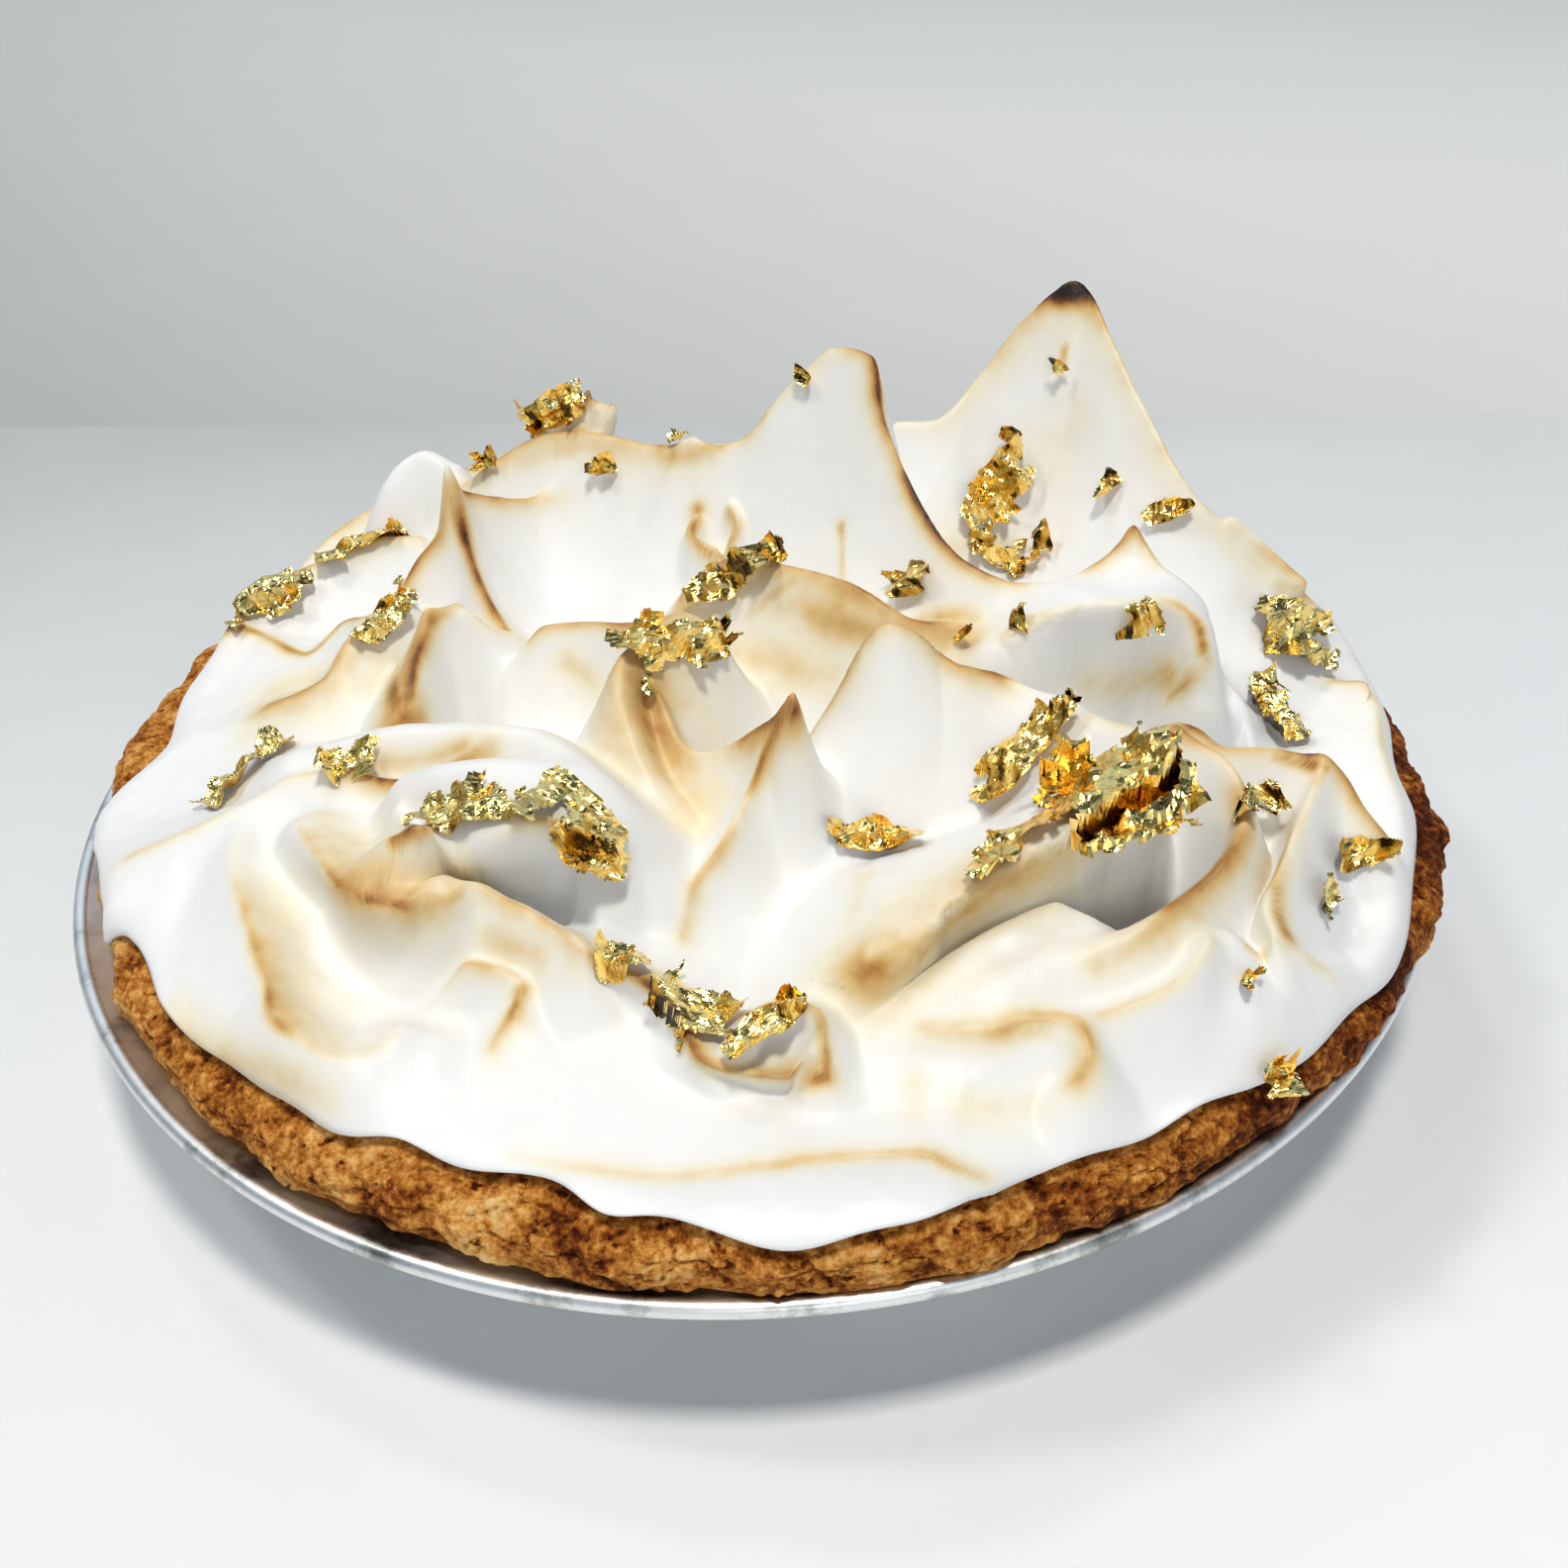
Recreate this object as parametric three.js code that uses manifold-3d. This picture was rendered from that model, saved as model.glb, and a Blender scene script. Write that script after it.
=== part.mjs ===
import * as THREE from "three";
import Module from "manifold-3d";

// A citrus meringue pie in its own tin. Millimetres, +Z up, origin in the middle of the
// tin's underside. The side that faces the viewer is -Y.

const TAU = 2 * Math.PI;
const DEGREE = Math.PI / 180;

// Tin: a nine inch pie tin of thin sheet with a flat flange and a rolled rim
const TIN_SHEET = 0.6;
const TIN_FLOOR_RADIUS = 88;
const TIN_MOUTH_RADIUS = 109;
const TIN_HEIGHT = 30;
const TIN_BEAD_RADIUS = 1.5;
const TIN_RIM_RADIUS = 121;
const TIN_FLANGE_RISE = 0.3;
const TIN_SIDES = 60;

// Clear gap between two pieces that touch in the real pie
const GAP = 0.35;

// Crust: outer radius every 15 degrees, counted from -180 degrees
const CRUST_RADII = [
  117, 115, 116, 117.5, 117.5, 119, 120.5, 121, 120, 120.5, 121.5, 122,
  119, 118, 118, 118.5, 118, 118, 118, 118.5, 118, 118, 117, 117,
];
const CRUST_TOP = 40;
const CRUST_WAIST = 35;
const CRUST_FILL = 36;
const CRUST_SHOULDER = 8.5;
const CRUST_INNER_SLOPE = 10;
// How far the crust's side stands clear of the tin's, at the floor and at the mouth
const CRUST_FLOOR_CLEAR = 1.2;
const CRUST_MOUTH_CLEAR = 1.6;
const CRUST_MOUTH_DROP = 0.2;
// Rings of the crust's rounded edge, inward from its outermost line
const CRUST_UNDER_INSET = 2;
const CRUST_ROUND_INSETS = [1.6, 4.6, 8.5, 13.5, 18.5];

// Meringue: edge radius every 15 degrees, counted from -180 degrees
const MERINGUE_RADII = [
  107, 113, 112.5, 112.5, 111.5, 110.5, 117, 117, 116.5, 118, 118, 115.5,
  114, 114, 113, 113, 113, 113, 112.5, 112, 112, 112, 110, 107,
];
// Where the meringue hangs out over the crust: direction and width in degrees, and how far
const DRIPS = [
  { at: -171, width: 5, out: 4.5 },
  { at: -156, width: 1.5, out: 2 },
  { at: -121, width: 4, out: 2.8 },
  { at: -100, width: 3, out: 4 },
  { at: -88.5, width: 5, out: 3 },
  { at: -38, width: 6, out: 3 },
];
const MERINGUE_REST = 0.8;
const MERINGUE_EDGE_HEIGHT = 42;
const MERINGUE_MIDDLE_RISE = 10;
const MERINGUE_DOME_RADIUS = 116;
const MERINGUE_DOME_POWER = 2.6;
const EDGE_RIPPLES = [{ size: 0.8, waves: 13, from: 1 }, { size: 0.6, waves: 23, from: 2 }];
// Rings of the meringue's underside: insets from the crust's edge and from its own
const UNDER_INSETS = [[4.6, 4], [8.5, 5], [13.5, 7]];
const LIP_UNDER_INSET = 1.5;
const LIP_ROUND = 5;
const LIP_DEPTH = 1.6;
const BLEND = 6;
const CREST_STEP = 1.3;
const LEAN_RUN = 14;
const GRID = 56;
const GRID_MOVE = 1.6;
const AROUND = 4 * GRID;

// Crests of the meringue. Each runs through its [x, y, z] points. The flanks reach `left`
// and `right` millimetres out, seen along the run, `round` is the radius of the crest,
// `power` is how hollow the flanks are and `lean` is how far the crest hangs over.
const CRESTS = [
  {
    name: "tall peak",
    path: [[30, 47, 80], [38, 44, 82], [45, 48, 88], [52, 50.5, 96], [58, 51, 102],
      [62.5, 50.5, 105.5], [66, 49, 103], [69, 42, 97], [74, 30, 88], [80, 19, 79],
      [89, 16, 70], [102, 16, 58]],
    left: 20, right: 38, round: 0.6, power: 2, lean: [0, 0],
  },
  {
    name: "middle peak",
    path: [[-10, 38, 80], [1, 35, 84], [8, 34, 93], [15, 32.5, 100.5], [18, 31.5, 102.5],
      [23.5, 27.5, 103], [25, 26, 101], [26, 22, 93], [31, 11, 83], [38, -1, 77], [50, -5, 73],
      [61, -2, 76], [65, -1, 79.5], [67, 0, 82], [69, -2, 79], [71, -5, 76], [76, -9, 72]],
    left: 16, right: 34, round: 0.5, power: 2.1, lean: [0, 0],
  },
  {
    name: "back crest",
    path: [[-54, 55, 66], [-47, 54, 72], [-37, 52, 78], [-27, 49, 79], [-16, 43, 79], [-8, 39, 80]],
    left: 20, right: 26, round: 1.2, power: 1.9, lean: [0, 0],
  },
  {
    name: "small scroll",
    path: [[-8, 28, 71.5], [-9.5, 26, 70.5], [-8, 23.5, 69.5], [-4.5, 22, 68.5]],
    left: 4, right: 5, round: 0.8, power: 1.3, lean: [0, 0],
  },
  {
    name: "small scroll side",
    path: [[-2, 28, 73], [-0.5, 25.5, 71.5], [-2, 23, 69.5]],
    left: 5, right: 4, round: 0.7, power: 1.3, lean: [0, 0],
  },
  {
    name: "back hook",
    path: [[-40, 57, 77], [-36, 56, 80], [-31, 55, 83], [-27, 53, 84.5]],
    left: 7, right: 7, round: 0.5, power: 1.9, lean: [3, 0],
  },
  {
    name: "hook tip",
    path: [[-30, 54, 84], [-26, 52, 85.5], [-22, 50, 86]],
    left: 3.5, right: 3.5, round: 0.4, power: 1.6, lean: [6, -2],
  },
  {
    name: "fin outer",
    path: [[-64, 23, 60], [-60, 27, 66], [-55, 29, 70], [-53, 31, 78]],
    left: 12, right: 16, round: 0.4, power: 2, lean: [0, 0],
  },
  {
    name: "fin back",
    path: [[-53, 31, 78], [-50, 36, 74], [-41, 43, 69], [-28, 47, 66]],
    left: 14, right: 18, round: 0.5, power: 2, lean: [0, 0],
  },
  {
    name: "fin front",
    path: [[-53, 31, 78], [-51, 27, 71], [-48, 20, 64], [-43, 13, 57]],
    left: 9, right: 9, round: 0.5, power: 1.9, lean: [0, 0],
  },
  {
    name: "back lobe",
    path: [[-71, 57, 58], [-69, 60, 66], [-63, 62, 70], [-57, 60, 68]],
    left: 12, right: 12, round: 5, power: 1.3, lean: [0, 0],
  },
  {
    name: "far swell",
    path: [[-99, 31, 50], [-93, 39, 54], [-81, 45, 57], [-72, 47, 59], [-63, 46, 60]],
    left: 14, right: 16, round: 1, power: 1.7, lean: [0, 0],
  },
  {
    name: "left wave",
    path: [[-99, 31, 50], [-92, 28, 50], [-81, 18, 51], [-74, 20, 57], [-68, 15, 61], [-62, 18, 62]],
    left: 12, right: 18, round: 0.6, power: 1.8, lean: [0, 0],
  },
  {
    name: "tongue",
    path: [[-50.5, 8, 66], [-54, 3, 66], [-55.5, -3, 65], [-56.5, -9, 63], [-57, -13, 60],
      [-58, -15, 56]],
    left: 4.5, right: 12, round: 2, power: 1, lean: [0, -1],
  },
  {
    name: "tongue back",
    path: [[-55, 4, 67], [-49, 6, 67], [-45, 6, 63], [-40, 9, 59]],
    left: 9, right: 7, round: 0.8, power: 1.3, lean: [0, 0],
  },
  {
    name: "tongue ledge",
    path: [[-89, -1, 47], [-86, 2, 50], [-80, 2, 53], [-74, 3, 56], [-71, 8, 60], [-68, 11, 62]],
    left: 11, right: 16, round: 0.9, power: 1.7, lean: [0, 0],
  },
  {
    name: "outer ledge",
    path: [[-104, -38, 43], [-100, -37, 48], [-90, -36, 52], [-82, -33, 54], [-74, -30, 57],
      [-66, -31, 59]],
    left: 16, right: 22, round: 0.6, power: 1.7, lean: [0, 0],
  },
  {
    name: "small tip",
    path: [[-66, -31, 59], [-57, -34, 58], [-49, -34, 59], [-41, -32, 62]],
    left: 12, right: 10, round: 0.6, power: 1.8, lean: [0, 0],
  },
  {
    name: "front lip",
    path: [[-70.3, -45.6, 58.5], [-65, -56.1, 59.5], [-59.5, -64.8, 60], [-52.8, -68.7, 60.5],
      [-45.5, -69.8, 60.5], [-42.1, -67.2, 60.5]],
    left: 17, right: 4.5, round: 5, power: 0.9, lean: [-1.5, -4.5],
  },
  {
    name: "lip ridge",
    path: [[-46, -64, 61.5], [-42, -63.5, 61.5], [-37, -67, 60.5], [-32, -70, 59.5],
      [-28, -73, 58.5], [-24, -77, 57.5]],
    left: 7, right: 11, round: 1.6, power: 1.3, lean: [0, -1],
  },
  {
    name: "arch foot",
    path: [[-54, -48, 62.5], [-51.5, -53, 62.5], [-49.5, -58, 62]],
    left: 6, right: 6, round: 2, power: 1.2, lean: [0, 0],
  },
  {
    name: "arch",
    path: [[-52, -60, 66], [-46, -63, 70], [-39, -64.5, 71.5], [-31, -65, 72],
      [-25, -66.5, 70.5], [-20, -69, 66]],
    left: 20, right: 3.5, round: 1.2, power: 1.1, lean: [0, -9],
  },
  {
    name: "arch back",
    path: [[-52, -44, 65], [-45, -48, 69.5], [-35, -50, 71.5], [-26, -53, 71], [-20, -57, 67]],
    left: 18, right: 9, round: 6, power: 1.2, lean: [0, 0],
  },
  {
    name: "wide curl",
    path: [[-74, -25, 58], [-59, -25, 62], [-45, -29, 65], [-33, -35, 67], [-25, -46, 68],
      [-19, -57, 66], [-15, -63, 60]],
    left: 18, right: 13, round: 3.5, power: 1.4, lean: [0, 0],
  },
  {
    name: "scoop edge",
    path: [[-83, -38, 53], [-81, -49, 53], [-77, -60, 52.5], [-71, -75, 51.5], [-69, -82, 51],
      [-64, -87, 51], [-58, -90, 50], [-52, -88, 50], [-50, -84, 52]],
    left: 16, right: 14, round: 1, power: 1.7, lean: [0, 0],
  },
  {
    name: "pocket side",
    path: [[-33, -79, 52], [-34.5, -83, 50.5], [-37, -86.5, 48]],
    left: 10, right: 8, round: 0.5, power: 1.7, lean: [0, 0],
  },
  {
    name: "pocket top",
    path: [[-46, -74.5, 52], [-44, -74, 53.5], [-41, -74.5, 54], [-37, -76.5, 54],
      [-34, -77.5, 53]],
    left: 9, right: 6, round: 0.8, power: 1.5, lean: [0, 0],
  },
  {
    name: "front curl",
    path: [[-25, -75.5, 57.5], [-20, -79, 56], [-14, -83, 55], [-9, -91, 53], [-6, -96, 52],
      [2, -98, 51], [10, -98.5, 51]],
    left: 16, right: 3.5, round: 0.8, power: 1.1, lean: [0, -4],
  },
  {
    name: "curl end",
    path: [[0, -90, 55], [5, -91, 57], [9.5, -92, 57.5], [10.5, -95, 54], [10.5, -98.5, 51]],
    left: 12, right: 3.5, round: 0.6, power: 1.1, lean: [2.5, -1],
  },
  {
    name: "front ledge",
    path: [[-33, -104, 43], [-19, -109, 45], [-8, -111, 46], [1, -111, 47], [12, -111, 48],
      [23, -111, 48], [26, -112, 47], [32, -113, 45]],
    left: 20, right: 7, round: 0.6, power: 1.7, lean: [0, -1],
  },
  {
    name: "swirl loop",
    path: [[25, -92, 53], [34, -93, 53], [38, -92, 54], [43, -92, 55], [46, -94, 55],
      [47, -98, 53], [45, -100, 50]],
    left: 10, right: 9, round: 1.2, power: 1.5, lean: [0, 0],
  },
  {
    name: "swirl ledge",
    path: [[47, -92, 54], [55, -90, 55], [62, -87, 57], [66, -82, 58]],
    left: 13, right: 11, round: 0.8, power: 1.7, lean: [0, 0],
  },
  {
    name: "big roll",
    path: [[16, -83, 56], [23, -83, 61], [30, -79, 66], [40, -75, 70], [48, -73, 73.5],
      [55, -68, 75.5], [60, -66, 76.5], [62, -62, 77], [62, -57, 76.5], [59, -51, 75],
      [54, -46, 73]],
    left: 20, right: 6.8, round: 5, power: 0.8, lean: [4.5, -7.8],
  },
  {
    name: "roll foot",
    path: [[18, -88, 52.5], [24, -86, 55], [33, -80.5, 58.5], [42, -76.5, 60.5],
      [48, -74.5, 60.5]],
    left: 8, right: 14, round: 5, power: 1.1, lean: [0, 0],
  },
  {
    name: "roll edge",
    path: [[15, -86, 55], [16, -79, 57], [17, -73, 58], [18, -64, 57]],
    left: 9, right: 14, round: 0.8, power: 1.7, lean: [0, 0],
  },
  {
    name: "second roll",
    path: [[67, -44, 70], [73, -52, 69.5], [75, -59, 67], [73.5, -65, 66], [69.5, -70.5, 64],
      [62.5, -75.5, 61], [56, -80, 58.5], [50, -82, 55.5]],
    left: 10, right: 9, round: 1.4, power: 1.3, lean: [0, 0],
  },
  {
    name: "roll ledge",
    path: [[27, -90, 53], [35, -86, 57], [43, -83, 58], [51, -81, 58.5], [60, -79, 59],
      [69, -78, 57]],
    left: 8, right: 20, round: 3, power: 1.15, lean: [0, 0],
  },
  {
    name: "right fin top",
    path: [[62, -39, 66], [70, -42, 69], [75, -44, 66], [83, -44, 65], [92, -46, 63],
      [96, -50, 58], [100, -53, 53]],
    left: 13, right: 18, round: 0.6, power: 1.8, lean: [0, 0],
  },
  {
    name: "right fin front",
    path: [[90, -47, 63], [85, -56, 61], [80, -66, 60], [76, -73, 59], [76, -79, 56]],
    left: 11, right: 13, round: 1, power: 1.8, lean: [-3, 0],
  },
  {
    name: "right rim",
    path: [[105, 0, 48], [110, -9, 51], [108, -23, 49], [106, -48, 47], [100, -66, 46],
      [92, -80, 46], [86, -79, 49], [78, -78, 53]],
    left: 10, right: 20, round: 1.2, power: 1.6, lean: [0, 0],
  },
  {
    name: "edge hook",
    path: [[103, 0, 48], [108, -4.5, 51.5], [109.5, -8, 52], [109.5, -11, 49]],
    left: 4, right: 4, round: 0.5, power: 1.5, lean: [2.5, 0],
  },
  {
    name: "peak curl",
    path: [[88, 16, 71], [95, 13, 67.5], [101, 9, 64]],
    left: 9, right: 9, round: 0.8, power: 1.6, lean: [3.5, -2],
  },
  {
    name: "thick roll",
    path: [[44, -16, 70], [50, -16.5, 74], [57, -17.5, 76.5], [63.5, -18.5, 77.5],
      [69.5, -19, 77.5], [74, -20.5, 75], [75.5, -24, 70]],
    left: 12, right: 6.5, round: 6, power: 0.6, lean: [2, -8],
  },
  {
    name: "hood",
    path: [[-10, 7, 66], [-7, 8, 71], [0, 8, 74], [9, 2, 75], [15, -1, 75], [21, -5, 74],
      [27, -8, 71], [36, -9, 67]],
    left: 16, right: 20, round: 0.9, power: 1.6, lean: [0, 0],
  },
  {
    name: "centre peak",
    path: [[9, -32, 60], [15, -33, 70], [19, -32, 79], [23, -33, 84], [28, -33, 82],
      [31, -33, 79], [35, -35, 77], [41, -35, 75], [47, -36, 71], [54, -34, 66]],
    left: 10, right: 32, round: 0.5, power: 2, lean: [0, 0],
  },
  {
    name: "column",
    path: [[-8, -14, 73], [-18, -19, 73], [-20, -26, 70], [-18, -34, 65], [-14, -41, 59]],
    left: 13, right: 12, round: 2.5, power: 1.5, lean: [0, 0],
  },
  {
    name: "spike back",
    path: [[-14, -24, 67], [-9, -34, 66], [-2, -38, 68], [4, -43, 73], [8, -47, 78]],
    left: 9, right: 10, round: 0.8, power: 1.8, lean: [0, 0],
  },
  {
    name: "spike front",
    path: [[8, -47, 78], [4, -46, 70], [1, -50, 65], [-3, -57, 61], [-8, -63, 57], [-10, -70, 53]],
    left: 9, right: 16, round: 0.5, power: 1.8, lean: [0, 0],
  },
  {
    name: "small crest",
    path: [[-37, 1, 63], [-34, 0, 66], [-26, -1, 67], [-18, -5, 69], [-10, -6, 71], [-5, -12, 72]],
    left: 13, right: 13, round: 0.7, power: 1.7, lean: [0, 0],
  },
  {
    name: "rear left wave",
    path: [[-97, 52, 46], [-86, 64, 50], [-72, 76, 54], [-56, 83, 56], [-42, 80, 53]],
    left: 14, right: 18, round: 0.9, power: 1.7, lean: [0, 0],
  },
  {
    name: "rear wave one",
    path: [[-42, 96, 45], [-29, 87, 50], [-17, 76, 56], [-9, 67, 61], [3, 60, 64]],
    left: 15, right: 17, round: 0.7, power: 1.8, lean: [0, 0],
  },
  {
    name: "rear wave two",
    path: [[-10, 101, 45], [5, 95, 50], [18, 85, 55], [24, 73, 59], [20, 62, 62]],
    left: 17, right: 14, round: 0.8, power: 1.7, lean: [0, 0],
  },
  {
    name: "rear wave three",
    path: [[34, 99, 45], [45, 91, 50], [52, 80, 56], [48, 68, 60]],
    left: 18, right: 14, round: 0.6, power: 1.8, lean: [0, 0],
  },
  {
    name: "rear right wave",
    path: [[62, 88, 46], [74, 78, 51], [82, 65, 55], [85, 50, 57], [79, 38, 59]],
    left: 14, right: 16, round: 0.8, power: 1.7, lean: [0, 0],
  },
  {
    name: "rear right ledge",
    path: [[94, 60, 45], [101, 44, 49], [104, 30, 51], [107, 14, 49]],
    left: 12, right: 12, round: 1, power: 1.6, lean: [0, 0],
  },
  {
    name: "rear ledge",
    path: [[-70, 90, 44], [-52, 99, 47], [-28, 106, 48], [-4, 110, 47], [20, 108, 48], [44, 101, 45]],
    left: 8, right: 16, round: 0.8, power: 1.6, lean: [0, 0],
  },
];

// Hollows scooped out of the meringue: a line from one [x, y] to the next, width and depth
const HOLLOWS = [
  { from: [-41, -58.5], to: [-31, -61], width: 5.5, depth: 10 }, // under the arch
  { from: [-66, -62], to: [-47, -72.5], width: 6, depth: 3 }, // below the lip
  { from: [-64, -71], to: [-48, -78], width: 10, depth: 3.5 }, // in the scoop before it
  { from: [-5, -31], to: [1, -31], width: 12, depth: 5 }, // bowl behind the spike
  { from: [-49.5, 1], to: [-48.5, -15], width: 7.5, depth: 6 }, // beside the tongue
  { from: [75, -22], to: [58, -21], width: 7, depth: 12 }, // under the thick roll
  { from: [80.5, -27], to: [81, -13], width: 5, depth: 8 }, // beyond its end
  { from: [61, -63], to: [50, -70.5], width: 6, depth: 13 }, // under the diagonal roll
];

// Gold leaf: a point of the meringue below its middle, the way it faces, its length with
// its direction, and its width
const LEAVES = [
  { at: [-86, -16, 48], facing: [-3, -2, 9], along: [9, 15, 1], width: 6 },
  { at: [-65, -31, 60], facing: [2, 0, 9], along: [8, 0, 0], width: 5 },
  { at: [-40, -58, 70.5], facing: [-1, -3, 8], along: [18, -2, 4], width: 9 },
  { at: [-24, -64, 69], facing: [2, -7, 6], along: [11, -7, -10], width: 9 },
  { at: [-11, -17, 72], facing: [2, -6, 7], along: [19, 3, -3], width: 9 },
  { at: [-91, 36, 53], facing: [-2, -5, 8], along: [14, 8, 2], width: 8 },
  { at: [-72, 47, 59], facing: [-1, -5, 8], along: [18, 7, 4], width: 5 },
  { at: [-65, 14, 60], facing: [4, -5, 8], along: [6, 13, 2], width: 5 },
  { at: [-34, 55, 81], facing: [-2, -8, 5], along: [11, -3, 6], width: 7 },
  { at: [0, 5, 72], facing: [-3, -6, 6], along: [16, 3, 6], width: 6 },
  { at: [30, 1, 72], facing: [-6, -5, 6], along: [8, -4, 4], width: 6 },
  { at: [47, 35, 69], facing: [1, -8, 6], along: [13, 8, 11], width: 9 },
  { at: [52, 27, 61], facing: [-3, -4, 7], along: [10, -3, 4], width: 6 },
  { at: [78.5, 16.5, 76], facing: [-3, -7, 6], along: [11, 1, 3], width: 3.5 },
  { at: [65, -19, 75], facing: [0, -8, 4], along: [7, 0, 1], width: 6 },
  { at: [96, 3, 56], facing: [3, -5, 8], along: [17, 1, -5], width: 11 },
  { at: [91, -11, 49], facing: [2, -4, 9], along: [5, -12, -4], width: 7 },
  { at: [44, -46, 68], facing: [-4, -5, 7], along: [15, 7, 10], width: 6 },
  { at: [54, -67, 75], facing: [0, -3, 8], along: [20, 4, 1], width: 17 },
  { at: [36, -74, 68.5], facing: [-1, -4, 8], along: [15, 9, 6], width: 6 },
  { at: [20, -52, 56], facing: [0, -5, 8], along: [12, -3, -1], width: 5 },
  { at: [95, -55, 52], facing: [1, -7, 7], along: [8, 1, 0], width: 5 },
  { at: [86, -66, 53], facing: [7, -4, 5], along: [7, 10, 0], width: 5 },
  { at: [-17, -78, 55.5], facing: [1, -2, 9], along: [9, 0, -1], width: 5 },
  { at: [-8, -87, 53], facing: [1, -1, 9], along: [8, -9, -2], width: 8 },
  { at: [3, -92, 55], facing: [-2, -6, 7], along: [11, 7, 2], width: 5 },
  { at: [74, -92, 42], facing: [3, -6, 6], along: [6, 1, 0], width: 6 },
];
const LEAF_CELLS_LONG = 5;
const LEAF_CELLS_WIDE = 3;
const LEAF_THICKNESS = 0.6;
const LEAF_CLEAR = 0.5;
const LEAF_CRUMPLE = 1.6;
const LEAF_RAGGED = 0.35;
const LEAF_NARROWING = 0.45;
const LEAF_SEARCH = 9;
const LEAF_SPARE = 5;
const LEAF_PASSES = 2;
const LEAF_SAMPLES = 6;
const LEAF_LOOK = 0.6;
const LEAF_LOOK_AROUND = [[0, 0], [1, 0], [-1, 0], [0, 1], [0, -1], [0.7, 0.7], [-0.7, 0.7],
  [0.7, -0.7], [-0.7, -0.7]];

// Flecks of gold too small for a piece of their own: [x, y] on the meringue, and size
const FLECKS = [
  { at: [-17, -24], size: 4 },
  { at: [-48, 53], size: 5 },
  { at: [-25, 44], size: 5 },
  { at: [-11, 40], size: 4 },
  { at: [13, 32], size: 4 },
  { at: [68, 26], size: 5 },
  { at: [47, -16], size: 4 },
  { at: [37, -11], size: 3 },
  { at: [75, -61], size: 5 },
  { at: [85, -50], size: 5 },
  { at: [71, -84], size: 5 },
  { at: [60, 45], size: 4 },
  { at: [51, 42], size: 4 },
];
const FLECK_THICKNESS = 1.2;
const FLECK_CORNERS = 5;
const FLECK_RAGGED = 0.6;
const FLECK_CURL = 0.8;
const FLECK_DROP = 130;

const solids = await Module();
solids.setup();
const { Manifold, Mesh } = solids;

const clamp01 = (value) => Math.min(1, Math.max(0, value));

// A smooth closed run of radii, through one value for each equal step of the angle
function radiusAt(radii, angle) {
  const place = ((angle + Math.PI) / TAU) * radii.length;
  const step = Math.floor(place);
  const f = place - step;
  const pick = (k) => radii[(((step + k) % radii.length) + radii.length) % radii.length];
  return through(pick(-1), pick(0), pick(1), pick(2), f);
}

function through(a, b, c, d, f) {
  const slope = c - a;
  const bend = 2 * a - 5 * b + 4 * c - d;
  const twist = 3 * b - a - 3 * c + d;
  return b + 0.5 * f * (slope + f * (bend + f * twist));
}

// Uneven lumps along the crust, the same at every height
function crustLumps(angle, size) {
  return size * (0.6 * Math.sin(17 * angle + 0.5) + 0.5 * Math.sin(29 * angle + 1.9)
    + 0.35 * Math.sin(43 * angle + 0.7));
}

function crustRadius(angle) {
  return radiusAt(CRUST_RADII, angle) + crustLumps(angle, 0.8);
}

function crustTop(r, angle) {
  const outer = crustRadius(angle);
  const shoulder = outer - CRUST_SHOULDER;
  const top = CRUST_TOP + crustLumps(angle + 0.3, 0.7);
  if (r > shoulder) {
    const out = Math.min(1, (r - shoulder) / CRUST_SHOULDER);
    return CRUST_WAIST + (top - CRUST_WAIST) * Math.sqrt(1 - out * out);
  }
  const inward = clamp01((shoulder - r) / CRUST_INNER_SLOPE);
  return top - (top - CRUST_FILL) * (0.5 - 0.5 * Math.cos(Math.PI * inward));
}

function meringueRadius(angle) {
  let radius = radiusAt(MERINGUE_RADII, angle);
  for (const { size, waves, from } of EDGE_RIPPLES) {
    radius += size * Math.sin(waves * angle + from);
  }
  for (const drip of DRIPS) {
    const away = (THREE.MathUtils.radToDeg(angle) - drip.at) / drip.width;
    radius += drip.out * Math.exp(-away * away);
  }
  return radius;
}

function domeHeight(x, y) {
  const out = Math.hypot(x, y) / MERINGUE_DOME_RADIUS;
  return MERINGUE_EDGE_HEIGHT + MERINGUE_MIDDLE_RISE * (1 - out ** MERINGUE_DOME_POWER);
}

// Points along a smooth curve through the given ones, about one step apart
function smoothPath(points, step) {
  const last = points.length - 1;
  const beyond = (a, b) => a.map((value, k) => 2 * value - b[k]);
  const run = [beyond(points[0], points[1]), ...points, beyond(points[last], points[last - 1])];
  const path = [];
  for (let i = 0; i < last; i += 1) {
    const [a, b, c, d] = run.slice(i, i + 4);
    const count = Math.max(2, Math.ceil(Math.hypot(c[0] - b[0], c[1] - b[1]) / step));
    for (let k = 0; k < count; k += 1) {
      path.push(b.map((value, axis) => through(a[axis], value, c[axis], d[axis], k / count)));
    }
  }
  path.push(points[last]);
  return path;
}

// A crest begins to lean little by little over its first millimetres
function leanStarted(steps) {
  return Math.min(1, (steps * CREST_STEP) / LEAN_RUN);
}

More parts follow.
